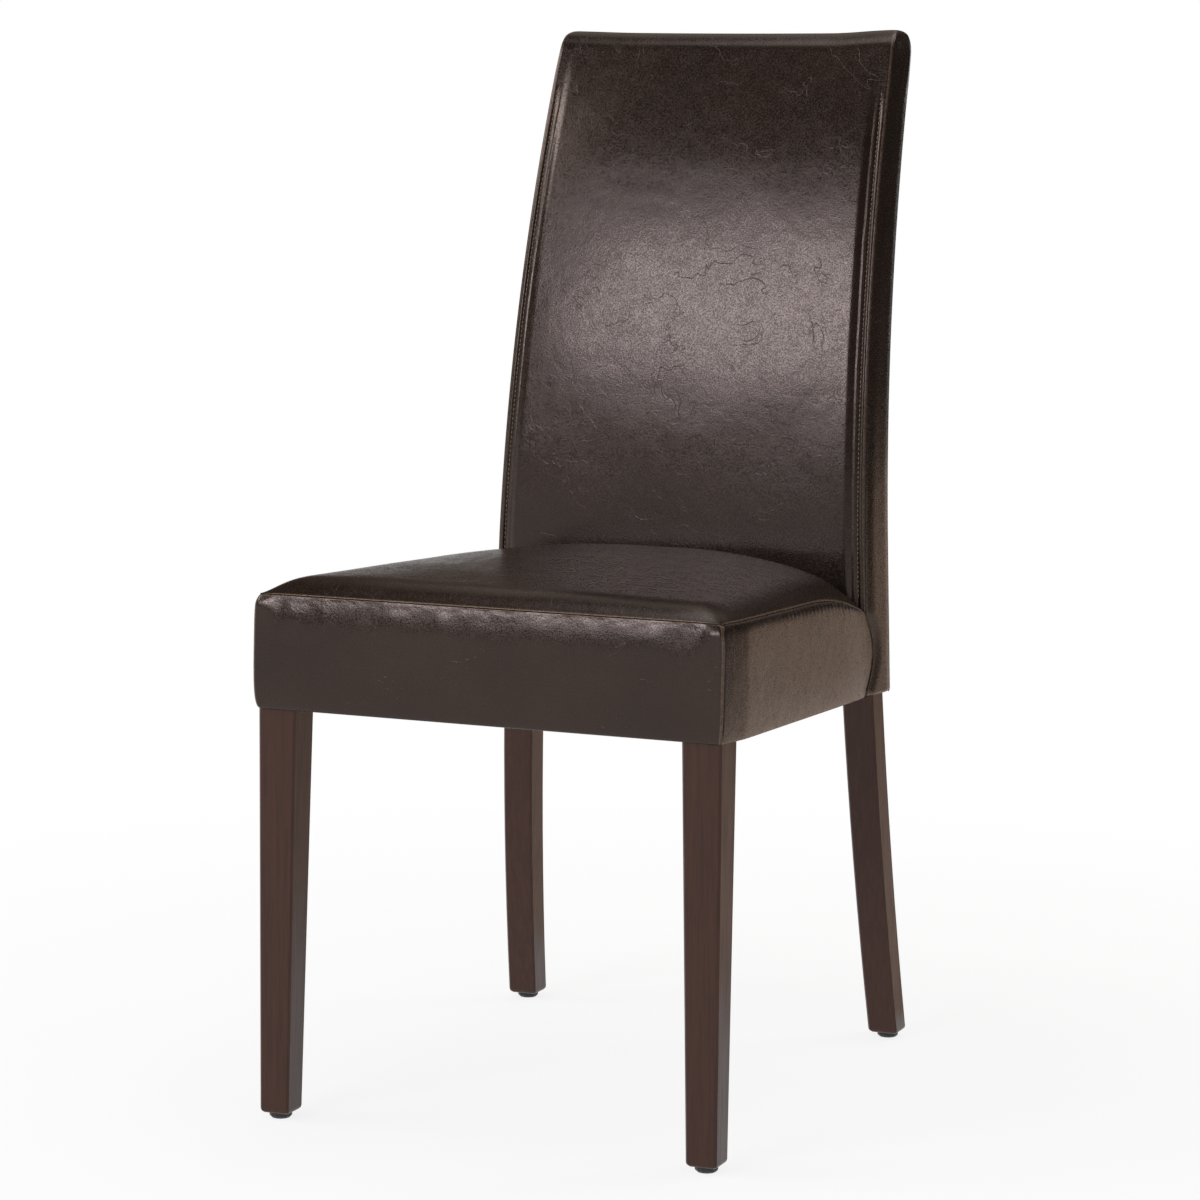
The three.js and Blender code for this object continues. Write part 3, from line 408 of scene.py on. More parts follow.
seat = {
    "frontWidth": 0.451,
    "rearWidth": 0.398,
    "depth": 0.453,
    "straight": 0.0485,  # the sides run straight this far back
    "underside": 0.383,
    "fall": 0.025,
    "bandHeight": 0.1045,
    "bandSwell": 0.0058,
    "bandFoot": 0.002,
    "crown": 0.023,
    "crownFlatness": 2.8,
    "crownRise": 1.35,
    "crownPeak": 0.89,
    "crownRear": 0.34,
    "edgeRise": 0.0150,
    "edgeRun": 0.046,
    "edgePower": 2.9,
    "edgeRear": 0.6,
    "edgeFade": 0.8,
    "rearDip": 0.022,
    "dipStart": 0.6,
    "dipPower": 2.5,
    "cornerEase": 0.003,
    "earSet": 0.0012,
    "earSwell": 0.023,
    "hem": 0.018,
    "legWidth": 0.0375,
    "padUnderside": 0.4466,  # top of the webbing
}
back = {
    "low": 0.442,
    "straightTo": 0.497,
    "top": 1.0,
    "rearFace": 0.528,
    "rake": 0.098,
    "depthSeat": 0.075,
    "depthTop": 0.060,
    "topWidth": 0.357,
    "swell": 0.003,
    "borderRise": 0.003,  # the front falls by this much to the flat border beside its seams
    "borderWide": 0.0175,
    "borderFlat": 0.0085,
    "fadeFrom": 0.008,  # the swell fades out from this far below the top
    "fadeRun": 0.130,
    "postSet": 0.0058,  # rear face to the posts' rear face
    "postDepthLow": 0.044,
    "postDepthTop": 0.030,
    "postTop": 0.9868,
}
skin = {"leather": 0.0012, "seam": 0.0005, "clear": 0.0004}


def fallAt(y):
    return seat["fall"] * y / seat["depth"]


def underside(y):
    return seat["underside"] - fallAt(y)


def backLean(z):
    return clip((z - back["straightTo"]) / (back["top"] - back["straightTo"]))


def backRear(z):
    return back["rearFace"] + back["rake"] * backLean(z) ** 2


def backFront(z):
    return backRear(z) - mix(back["depthSeat"], back["depthTop"], backLean(z))


def backHalf(z):
    t = (z - seat["underside"]) / (back["top"] - seat["underside"])
    return mix(seat["rearWidth"], back["topWidth"], t) / 2


def seatHalf(y, z):
    taper = clip((y - seat["straight"]) / (seat["depth"] - seat["straight"]))
    flat = mix(seat["frontWidth"], seat["rearWidth"], taper) / 2
    return flat + (backHalf(z) - seat["rearWidth"] / 2) * taper


earStart = seat["depth"] - seat["earSet"]
earEnd = seat["depth"] - back["swell"] - back["borderRise"]


def seamHeight(y, u):
    dip = clip((y / earStart - seat["dipStart"]) / (1 - seat["dipStart"]))
    return underside(y) + seat["bandHeight"] - seat["rearDip"] * dip**2 * abs(u) ** seat["dipPower"]


def backSwell(u, half):  # how far the back's middle stands in front of its side seams
    edge = (1 - abs(u)) * half
    border = 1 - smooth((back["borderWide"] - edge) / (back["borderWide"] - back["borderFlat"]))
    return back["swell"] * (1 - abs(u) ** 4) + back["borderRise"] * border


def easedCorner(point, dx, dy):  # softens the front corners in plan
    ease = seat["cornerEase"]
    pull = ease * (1 - math.sqrt(0.5)) * clip(1 - dx / ease) * clip(1 - dy / ease)
    return point + Vector((-math.copysign(pull, point.x), pull, 0))


# Seat cushion

cushion = {
    "step": 0.008,
    "lip": 0.0005,  # the cover stands proud just above its seam
    "lipAt": 0.0014,
    "lipWidth": 0.0008,
    "turn": 0.0012,
    "rearRound": 0.006,
    "waves": 0.0006,
    "waveSize": 0.07,
    "waveEdge": 0.03,  # the waves grow over this much from the seams
    "sideSet": 0.006,
    "wearAndHighlight": (1.0, 0.0010, 0.0008),  # seam wear and painted highlight on the lip: strength, distance from the seam, width
    "edgeSteps": (0, 0.0003, 0.0006, 0.001, 0.0014, 0.0018, 0.0023, 0.003, 0.004, 0.0055, 0.0075,
                  0.010, 0.013, 0.017, 0.022, 0.028, 0.035),
    "rearSteps": (0, 0.0008, 0.0018, 0.003, 0.0045, 0.0065, 0.009, 0.013),
}


def seatRear(u):
    z = back["straightTo"]
    return backFront(z) - skin["leather"] - backSwell(u, backHalf(z))


def quarter(distance):
    return 1 - (1 - clip(distance / seat["edgeRun"])) ** seat["edgePower"]


def crownAt(v):
    peak = seat["crownPeak"]
    if v < peak:
        return 1 - (1 - v / peak) ** seat["crownRise"]
    return mix(1, seat["crownRear"], ((v - peak) / (1 - peak)) ** 2)


def lipAt(arc):
    return rolled(arc, cushion["turn"]) - cushion["lip"] * bell(arc, cushion["lipAt"], cushion["lipWidth"])


def seatTop(t, v):
    u = 2 * t - 1
    y = v * seatRear(u)
    half = seatHalf(y, seamHeight(y, 1))
    dx = (1 - abs(u)) * half
    fade = mix(1, seat["edgeRear"], smooth((v - seat["edgeFade"]) / (1 - seat["edgeFade"])))
    rise = seat["edgeRise"] * fade * quarter(dx) * quarter(y)
    crown = seat["crown"] * (1 - abs(u) ** seat["crownFlatness"]) * crownAt(v)
    sideArc, frontArc = (math.hypot(d, seat["edgeRise"] * quarter(d)) for d in (dx, y))
    x = u * half - math.copysign(lipAt(sideArc), u)
    inner = smooth(min(dx, y, seatRear(u) - y) / cushion["waveEdge"])
    wave = cushion["waves"] * ripple(x, y, cushion["waveSize"], 1.7) * inner
    z = seamHeight(y, u) + rise + crown + wave - rolled(seatRear(u) - y, cushion["rearRound"])
    return easedCorner(Vector((x, y + lipAt(frontArc), z)), dx, y)


def seatBottom(t, v):
    u = 2 * t - 1
    rear = seatRear(u)
    y = mix(cushion["sideSet"], rear - cushion["sideSet"], v)
    half = seatHalf(y, seamHeight(y, 1)) - cushion["sideSet"]
    return Vector((u * half, y, seat["padUnderside"] - fallAt(y)))


# paler leather along the seat's seam lip: partly wear, partly a painted highlight
def seatWearAndHighlight(t, v):
    u = 2 * t - 1
    y = v * seatRear(u)
    dx = (1 - abs(u)) * seatHalf(y, seamHeight(y, 1))
    arc = min(math.hypot(d, seat["edgeRise"] * quarter(d)) for d in (dx, y))
    return wearAndHighlightAt(arc, cushion["wearAndHighlight"])


def makeSeatCushion():
    columns = stops(seat["frontWidth"], cushion["step"], cushion["edgeSteps"])
    rows = stops(seat["depth"], cushion["step"], cushion["edgeSteps"], cushion["rearSteps"])
    piece = closedForm("seat_cushion", columns, rows, seatTop, seatBottom, (leather, foam), wearAndHighlight=seatWearAndHighlight)
    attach(piece, "root")
    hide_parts("seat_top_panel", "seat_wadding", "seat_foam")


makeSeatCushion()
print("seat cushion made")


# Bands round the seat

band = {
    "step": 0.004,
    "topSteps": (0, 0.0002, 0.0005, 0.001, 0.0016, 0.0024, 0.0034, 0.0048, 0.0066, 0.009, 0.012),
    "turn": 0.0014,  # round edge beside the upright corner seam
    "lateFade": 8,
    "hemShares": (1.05, 1.3, 1.65, 2.0),
    "hemEnd": 0.476,  # the hem runs on under the back as far as its post
    "frontSwell": 0.0062,
    "lateSwell": 0.0016,  # the part of it that comes slowly, further down
    "cornerLean": 0.10,
    "frontLean": 0.30,  # the front leans back over this share of its height
    "leanFrom": 0.008,  # distances from a corner over which one lean becomes the other
    "leanRun": 0.020,
    "lateFrom": 0.12,
    "lateRun": 0.6,
    "footFrom": 0.72,  # below this share the front turns in to its foot
    "footPower": 3.2,
    "gather": 0.0007,
    "gatherSize": 0.034,
    "gatherAt": 0.016,  # the gathers swell most this far below the seam
    "gatherLong": 0.013,
    "gatherFine": 0.22,  # share of smaller gathers among them
    "gatherFiner": 3.7,
    "gatherEdge": 0.03,
    "seamHold": 0.0015,  # the seam itself stays straight
    "folds": ((-0.190, 0.9), (-0.157, 0.8), (-0.090, 0.9), (-0.041, 1.4), (0.163, 0.8)),
    "foldWide": 0.008,
    "fold": 0.0005,
    "crinkle": 0.0003,
    "crinkleSize": 0.0045,
    "crinkleAt": 0.004,
    "crinkleLong": 0.006,
    "pleat": 0.0005,
    "pleatPitch": 0.0125,
    "pleatAt": 0.003,
    "pleatLength": 0.006,
    "pleatHold": 0.002,
    "pleatsFrom": 0.12,
    "pleatsTo": 0.43,
    "pleatsGrow": 0.1,
    "pleatsFade": 0.05,
    "earTurn": 0.003,
    "cornerFall": 0.0027,  # the side rounds in towards the front corner
    "cornerRun": 0.075,
    "tuckRun": 0.004,  # the hem slips inside the back's cover over this much
    "upperPower": 5,  # how fully each half of a side band swells
    "upperRound": 0.42,
    "lowerPower": 4.2,
    "lowerRound": 0.5,
    # paler leather along the seams and upright corners: partly wear, partly a painted highlight
    "seamWearAndHighlight": (0.45, 0.0005, 0.0006),
    "cornerWearAndHighlight": (0.8, 0.0009, 0.0006),
    "sideWearAndHighlight": (0.6, 0.0009, 0.0006),
}
bandRows = stops(seat["bandHeight"], band["step"], band["topSteps"]) + list(band["hemShares"])


def bandOut(s):
    near = abs(2 * s - 1)
    if s < 0.5:
        return seat["bandSwell"] * (1 - near ** band["upperPower"]) ** band["upperRound"]
    share = (1 - near ** band["lowerPower"]) ** band["lowerRound"]
    return mix(seat["bandFoot"], seat["bandSwell"], share)


def frontOut(s, inward=0.0):  # how far the front band stands out, this share down and this far from a corner
    share = smooth((inward - band["leanFrom"]) / band["leanRun"])
    lean = mix(band["cornerLean"], band["frontLean"], share)
    early = band["frontSwell"] - band["lateSwell"]
    late = band["lateSwell"] * smooth((s - band["lateFrom"]) / band["lateRun"])
    if s < lean:
        return early * math.sin(math.pi / 2 * s / lean) + late
    if s < band["footFrom"]:
        return early + late
    foot = (s - band["footFrom"]) / (1 - band["footFrom"])
    return mix(seat["bandFoot"], band["frontSwell"], max(0.0, 1 - foot ** band["footPower"]) ** 0.5)


def gathersAt(x, below, corner):  # small upright swells of the leather under the front seam
    size = band["gatherSize"]
    fine = band["gatherFine"] * ripple(x, below * 0.5, size / band["gatherFiner"], 9.4)
    height = band["gather"] * (ripple(x, below * 0.25, size, 4.1) + fine)
    for place, strength in band["folds"]:
        height += band["fold"] * strength * bell(x, place, band["foldWide"])
    long = bell(below, band["gatherAt"], band["gatherLong"])
    crinkle = band["crinkle"] * ripple(x, below, band["crinkleSize"], 7.7)
    crinkle *= bell(below, band["crinkleAt"], band["crinkleLong"])
    return (height * long + crinkle) * smooth(corner / band["gatherEdge"]) * smooth(below / band["seamHold"])


def frontBandFace(t, s):
    u = 2 * t - 1
    top = seamHeight(0, u) - skin["seam"]
    z = mix(top, underside(0), min(s, 1))
    reach = seat["frontWidth"] / 2 + bandOut(min(s, 1)) - skin["seam"] / 2 - band["cornerFall"]
    x = u * reach
    if s > 1:
        y = mix(-seat["bandFoot"], seat["hem"], s - 1)
        return Vector((x, y, underside(y)))
    corner = reach - abs(x)
    y = rolled(corner, band["turn"]) - frontOut(s, corner) - gathersAt(x, s * seat["bandHeight"], corner)
    return easedCorner(Vector((x, y, z)), corner, 0)


def frontBandBack(t, s):
    p = frontBandFace(t, s)
    if s > 1:
        return p + Vector((0, 0, skin["leather"]))
    low = underside(0) + skin["leather"]
    high = seamHeight(0, 2 * t - 1) - skin["seam"] - skin["leather"]
    return Vector((p.x, max(p.y + skin["leather"], -skin["clear"]), min(max(p.z, low), high)))


def makeFrontBand():
    columns = stops(seat["frontWidth"], band["step"], seamSteps)
    clear = seat["frontWidth"] / 2 - seat["legWidth"] - skin["leather"]

    def keep(t, s):
        return s <= 1 or abs(2 * t - 1) * seat["frontWidth"] / 2 < clear

    # seam wear and painted highlight along the top seam and the corners
    def wearAndHighlight(t, s):
        corner = (1 - abs(2 * t - 1)) * seat["frontWidth"] / 2
        seam = wearAndHighlightAt(s * seat["bandHeight"], band["seamWearAndHighlight"])
        return max(seam, wearAndHighlightAt(corner, band["cornerWearAndHighlight"]) * (s <= 1))

    piece = closedForm("front_band", columns, bandRows, frontBandFace, frontBandBack, (leather,), keep, wearAndHighlight)
    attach(piece, "root")
    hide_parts("seat_front_band", "edge_padding_front")


def earLine(s):
    return mix(earStart, earEnd, s) + seat["earSwell"] * math.sin(math.pi * s)


def makeSideBand(word, side):
    def face(v, s):
        down = min(s, 1)
        out = bandOut(down) * (1 - v ** band["lateFade"])
        start = skin["seam"] / 2 - frontOut(down)
        y = mix(start, earLine(down), v)
        top = seamHeight(y, 1) - skin["seam"]
        z = mix(top, underside(y), down)
        if s > 1:
            y = mix(start, band["hemEnd"], v)
            edge = seatHalf(y, z) + seat["bandFoot"] * (1 - v ** band["lateFade"])
            edge -= 2 * skin["leather"] * smooth((y - earEnd) / band["tuckRun"] + 1)
            return Vector((side * mix(edge, edge - seat["hem"], s - 1), y, underside(y)))
        below = s * seat["bandHeight"]
        pleats = math.cos(2 * math.pi * y / band["pleatPitch"])
        pleats *= bell(below, band["pleatAt"], band["pleatLength"]) * smooth(below / band["pleatHold"])
        where = smooth((y - band["pleatsFrom"]) / band["pleatsGrow"])
        where *= smooth((band["pleatsTo"] - y) / band["pleatsFade"])
        turn = rolled(y - start, band["turn"]) + rolled(earLine(down) - y, band["earTurn"])
        turn += band["cornerFall"] * clip(1 - (y - start) / band["cornerRun"]) ** 2
        x = seatHalf(y, z) + out - turn + band["pleat"] * pleats * where
        return easedCorner(Vector((side * x, y, z)), 0, y - start)

    def rear(v, s):
        p = face(v, s)
        if s > 1:
            return p + Vector((0, 0, skin["leather"]))
        low = underside(p.y) + skin["leather"]
        high = seamHeight(p.y, 1) - skin["seam"] - skin["leather"]
        x = min(abs(p.x) - skin["leather"], seatHalf(p.y, p.z) + skin["clear"])
        return Vector((side * x, p.y, min(max(p.z, low), high)))

    def keep(v, s):
        return s <= 1 or v * seat["depth"] > seat["legWidth"] + skin["leather"]

    # seam wear and painted highlight along the top seam and the corners
    def wearAndHighlight(v, s):
        edge = min(v, 1 - v) * seat["depth"]
        seam = wearAndHighlightAt(s * seat["bandHeight"], band["seamWearAndHighlight"])
        return max(seam, wearAndHighlightAt(edge, band["sideWearAndHighlight"]) * (s <= 1))

    columns = stops(seat["depth"], band["step"], seamSteps)
    piece = closedForm(f"side_band_{word}", columns, bandRows, face, rear, (leather,), keep, wearAndHighlight)
    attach(piece, "root")
    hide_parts(f"seat_side_band_{word}", f"edge_padding_{word}")


sides = (("left", -1), ("right", 1))
makeFrontBand()
for word, side in sides:
    makeSideBand(word, side)
print("seat bands made")


# Back

backCover = {
    "rowStep": 0.0023,
    "columnStep": 0.009,
    "turn": 0.0010,
    "wrap": 0.0024,  # the side panels reach round the corner by this much
    "wrapFlat": 0.0012,
    "wrapEdge": 0.0004,
    "weltAt": 0.0017,
    "weltHigh": 0.0003,
    "weltWide": 0.0009,
    "stitchAt": 0.0046,  # the stitches' row, from the front panel's edge
    "stitchDeep": 0.0011,
    "stitchWide": 0.0012,
    "foldFrom": 0.0080,
    "foldTo": 0.0092,
    "foldHigh": 0.0005,
    "foldEase": 0.0010,
    "stitchTop": 0.952,  # the row dies out here
    "stitchFade": 0.05,
    "pucker": 0.00018,
    "puckerWide": 0.0030,
    "waver": 0.00035,
    "waverSize": 0.021,
    "sag": 0.0012,
    "sagFrom": 0.93,
    "sagRun": 0.06,
    "waves": 0.0008,
    "waveSize": 0.085,
    "waveEdge": 0.04,
    "sideStep": 0.004,
    "sideSwell": 0.0022,
    "sideSwellTop": 0.0050,
    "sideSwellRun": 0.024,
    "sideSwellFade": 0.02,
    "sideSwellOver": 0.001,
    "sideSwellFrom": 0.92,  # it grows to its full height at the top from here
    "sideSwellGrow": 0.05,
    "rearTurn": 0.006,
    "rearSwell": 0.002,
    "rearSwellRun": 0.03,
    "rearStep": 0.006,
    "rearPad": 0.005,
    "rearHem": 0.036,
    "hemHalf": 0.1655,  # the rear hem lies between the posts
    "footTurn": 0.003,
    # paler leather beside the seams and over the rounded edges: partly wear, partly a painted highlight
    "wearAndHighlightFade": 0.03,
    "weltWearAndHighlight": (0.25, 0.0017, 0.0005),
    "foldWearAndHighlight": (0.15, 0.0086, 0.0012),
    "topWearAndHighlight": (0.5, 0.0010, 0.0007),
    "sideFrontWearAndHighlight": (0.3, 0.0003, 0.0005),
    "sideRearWearAndHighlight": (0.2, 0.0010, 0.0010),
    "rearSideWearAndHighlight": (0.5, 0.0010, 0.0010),
    "rearTopWearAndHighlight": (0.7, 0.0010, 0.0009),
}
backEdgeSteps = (0, 0.0003, 0.0006, 0.001, 0.0014, 0.0018, 0.0022, 0.0027, 0.0032, 0.0037, 0.0042, 0.0046,
                 0.005, 0.0055, 0.006, 0.0066, 0.0072, 0.0078, 0.0084, 0.0092, 0.0100, 0.0106, 0.0113,
                 0.0122, 0.0135, 0.015, 0.017, 0.019, 0.021, 0.023, 0.026, 0.031)
backTop = {
    "frontDeep": 0.020,  # the rounding over the top, towards the front
    "frontDrop": 0.017,
    "rearDeep": 0.034,
    "rearDrop": 0.022,
    "cornerRound": 0.006,
    "narrow": 0.0010,
    "liftLeft": 0.0008,  # the top corners stand a little proud
    "liftRight": 0.0026,
    "liftFrom": 0.62,
    "settleFrom": 0.95,
}


def turnedIn(z, drop):  # share of a rounding's depth reached at this height
    q = clip(1 - (back["top"] - z) / drop)
    return 1 - math.sqrt(1 - q * q)


def topFront(z):
    return backFront(z) + backTop["frontDeep"] * turnedIn(z, backTop["frontDrop"])


def topRear(z):
    return backRear(z) - backTop["rearDeep"] * turnedIn(z, backTop["rearDrop"])


def nearTop(z):
    return smooth((z - backTop["settleFrom"]) / (back["top"] - backTop["settleFrom"]))


def backEdge(z):  # half the back's width, drawn in at the top
    inset = backTop["narrow"] * nearTop(z)
    return backHalf(z) - inset - backTop["cornerRound"] * turnedIn(z, backTop["cornerRound"])


def settled(u, z):  # lifts the top corners
    lift = backTop["liftLeft" if u < 0 else "liftRight"]
    near = smooth((abs(u) - backTop["liftFrom"]) / (1 - backTop["liftFrom"]))
    return z + lift * near * nearTop(z)


frontRise = back["top"] - backTop["frontDrop"] - back["low"]
frontTurn = math.hypot(backTop["frontDeep"], backTop["frontDrop"]) * math.pi / 2 / math.sqrt(2)
rearTurnLength = math.hypot(backTop["rearDeep"], backTop["rearDrop"]) * math.pi / 2 / math.sqrt(2)
topRun = topRear(back["top"]) - topFront(back["top"])
pathLength = frontRise + frontTurn + topRun + rearTurnLength
rearSeam = back["top"] - backTop["rearDrop"]


def pathPlace(a):  # y and z after going this far up the front and over the top
    if a <= frontRise:
        z = back["low"] + a
        return backFront(z), z
    a -= frontRise
    if a <= frontTurn:
        z = back["top"] - backTop["frontDrop"] * (1 - math.sin(a / frontTurn * math.pi / 2))
        return topFront(z), z
    a -= frontTurn
    if a <= topRun:
        return topFront(back["top"]) + a, back["top"]
    angle = math.pi / 2 * (1 - min(1, (a - topRun) / rearTurnLength))
    z = back["top"] - backTop["rearDrop"] * (1 - math.sin(angle))
    return topRear(z), z


def backPath(a):  # the place, and the direction straight out of the cover there
    y, z = pathPlace(a)
    near = 0.0005
    y0, z0 = pathPlace(max(0, a - near))
    y1, z1 = pathPlace(min(pathLength, a + near))
    return y, z, Vector((0, z0 - z1, y1 - y0)).normalized()


stitch = {"pitch": 0.0046, "length": 0.0031, "radius": 0.00050, "lift": 0.0004, "from": 0.455, "to": 0.945}


def seamShape(edge, z, a):  # height of the sewn border beside the corner seam
    cover = backCover
    stitched = smooth((cover["stitchTop"] - z) / cover["stitchFade"])
    wavering = edge + cover["waver"] * ripple(a, 0, cover["waverSize"], 5.5)
    groove = cover["stitchDeep"] * bell(edge, cover["stitchAt"], cover["stitchWide"])
    welt = cover["weltHigh"] * bell(edge, cover["weltAt"], cover["weltWide"])
    fold = cover["foldHigh"] * smooth((wavering - cover["foldFrom"]) / cover["foldEase"] + 1)
    fold *= 1 - smooth((wavering - cover["foldTo"]) / cover["foldEase"])
    pucker = cover["pucker"] * math.cos(2 * math.pi * a / stitch["pitch"])
    pucker *= bell(edge, cover["stitchAt"], cover["puckerWide"])
    return stitched * (fold + welt - groove + pucker) - rolled(edge, cover["turn"])


def swellFade(z):
    return smooth((back["top"] - back["fadeFrom"] - z) / back["fadeRun"])


def backFace(t, share):
    u = 2 * t - 1
    a = share * pathLength
    y, z, out = backPath(a)
    half = backEdge(z) - backCover["wrap"] - skin["seam"] / 2
    edge = (1 - abs(u)) * half
    swell = backSwell(u, half) * swellFade(z) if a < frontRise else 0
    wave = backCover["waves"] * ripple(u * half, a, backCover["waveSize"], 3.3)
    wave *= smooth(edge / backCover["waveEdge"]) * swellFade(z)
    sag = backCover["sag"] * (1 - u * u) * smooth((z - backCover["sagFrom"]) / backCover["sagRun"])
    point = Vector((u * half, y - swell, settled(u, z) - sag))
    rearEdge = rolled(pathLength - a, backCover["turn"])
    return point + out * (seamShape(edge, z, a) + wave - rearEdge)


def backInside(t, share):
    u = 2 * t - 1
    a = share * pathLength
    y, z, out = backPath(a)
    half = backEdge(z) - backCover["wrap"] - skin["seam"] / 2 - skin["leather"]
    lean = clip((z - back["low"]) / (back["top"] - back["low"]))
    depth = mix(back["postDepthLow"], back["postDepthTop"], lean)
    postFace = backRear(min(z, back["postTop"])) - back["postSet"] - depth - skin["clear"]
    under = min(back["postTop"], z - 2 * skin["leather"])
    if a < frontRise + frontTurn / 2:
        return Vector((u * half, postFace, under))
    return Vector((u * half, max(y - 2 * skin["leather"], postFace), under))


# seam wear and painted highlight beside the stitched seams and over the top
def backWearAndHighlight(t, share):
    a = share * pathLength
    z = pathPlace(a)[1]
    edge = (1 - abs(2 * t - 1)) * (backEdge(z) - backCover["wrap"])
    sewn = max(wearAndHighlightAt(edge, backCover["weltWearAndHighlight"]), wearAndHighlightAt(edge, backCover["foldWearAndHighlight"]))
    sewn *= smooth((backCover["stitchTop"] - z) / backCover["wearAndHighlightFade"])
    return max(sewn, wearAndHighlightAt(pathLength - a, backCover["topWearAndHighlight"]))


def makeBackCushion():
    columns = stops(seat["rearWidth"], backCover["columnStep"], backEdgeSteps)
    rows = stops(pathLength, backCover["rowStep"], (0, backCover["rowStep"]), seamSteps)
    piece = closedForm("back_cushion", columns, rows, backFace, backInside, (leather, foam), wearAndHighlight=backWearAndHighlight)
    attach(piece, "root")
    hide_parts("back_front_panel", "back_front_foam", "back_top_padding")


def makeBackStitches():
    for word, side in sides:
        bm = bmesh.new()
        count = int((stitch["to"] - stitch["from"]) / stitch["pitch"])
        for i in range(count):
            a = stitch["from"] - back["low"] + i * stitch["pitch"]
            y, z, out = backPath(a)
            half = backEdge(z) - backCover["wrap"] - skin["seam"] / 2
            t = 0.5 + side * (0.5 - backCover["stitchAt"] / (2 * half))
            here = backFace(t, a / pathLength)
            ahead = backFace(t, (a + stitch["length"]) / pathLength)
            along = (ahead - here).normalized()
            place = (here + ahead) / 2 + out * stitch["lift"] + Vector((0, frontY, 0))
            turn = Matrix((along.cross(out), out, along)).transposed().to_4x4()
            size = Matrix.Diagonal((stitch["radius"], stitch["radius"], stitch["length"] / 2, 1))
            matrix = Matrix.Translation(place) @ turn @ size
            bmesh.ops.create_uvsphere(bm, u_segments=6, v_segments=5, radius=1, matrix=matrix)
        roundFaces(bm)
        piece = pieceFrom(f"back_stitches_{word}", bm, (thread,))
        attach(piece, "root")


def makeBackSide(word, side):
    cover = backCover
    earTop = seamHeight(earStart, 1)
    step = cover["sideStep"]
    topSteps = (0, 0.0002, 0.0006, 0.0012, 0.002, 0.003, 0.0045, 0.0065, 0.009, 0.012, 0.016)
    lowRows = stops(seat["bandHeight"], step, seamSteps, (0, step))
    highRows = stops(back["top"] - earTop, step, (0, step), topSteps)
    rows = lowRows[:-1] + [1 + share for share in highRows]

    def lines(row):  # front and rear ends of a level, and its height at a given y
        if row < 1:
            s = 1 - row
            front = max(earLine(s), backFront(back["low"])) + skin["seam"]
            return front, backRear(back["low"]), lambda y: mix(earTop, underside(y), s)
        z = mix(earTop, back["top"], row - 1)
        return topFront(z) + skin["seam"] / 2, topRear(z) - skin["seam"] / 2, lambda y: settled(side, z)

    def halfAt(row, z):
        return backEdge(mix(earTop, back["top"], row - 1)) if row > 1 else backHalf(z)

    def face(t, row):
        front, rear, heightAt = lines(row)
        y = mix(front, rear, t)
        z = heightAt(y)
        edge, far = y - front, rear - y
        run = min(cover["sideSwellRun"], (rear - front) / 2)
        grown = smooth((z - cover["sideSwellFrom"]) / cover["sideSwellGrow"])
        high = mix(cover["sideSwell"], cover["sideSwellTop"], grown)
        topFade = smooth((back["top"] + cover["sideSwellOver"] - z) / cover["sideSwellFade"])
        swell = high * smooth(edge / run) * smooth(far / run) * topFade
        turn = rolled(edge, cover["wrap"]) + rolled(far, cover["rearTurn"])
        foot = rolled(max(0.0, z - underside(y)), cover["footTurn"])
        flat = skin["seam"] / 2 - cover["wrapFlat"] * clip(1 - edge / cover["wrapEdge"])
        return Vector((side * (halfAt(row, z) + swell - turn - foot + min(0, flat)), y, z))

    def inside(t, row):
        p = face(t, row)
        return Vector((side * min(abs(p.x), halfAt(row, p.z)) - side * skin["leather"], p.y, p.z))

    # seam wear and painted highlight along the side cover's front and rear edges
    def wearAndHighlight(t, row):
        front, rear, heightAt = lines(row)
        y = mix(front, rear, t)
        return max(wearAndHighlightAt(y - front, cover["sideFrontWearAndHighlight"]), wearAndHighlightAt(rear - y, cover["sideRearWearAndHighlight"]))

    columns = stops(back["depthSeat"], step, (0, 0.0002, 0.0004, 0.0007) + seamSteps[3:])
    piece = closedForm(f"back_side_cover_{word}", columns, rows, face, inside, (leather,), wearAndHighlight=wearAndHighlight)
    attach(piece, "root")
    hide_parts(f"back_side_panel_{word}")


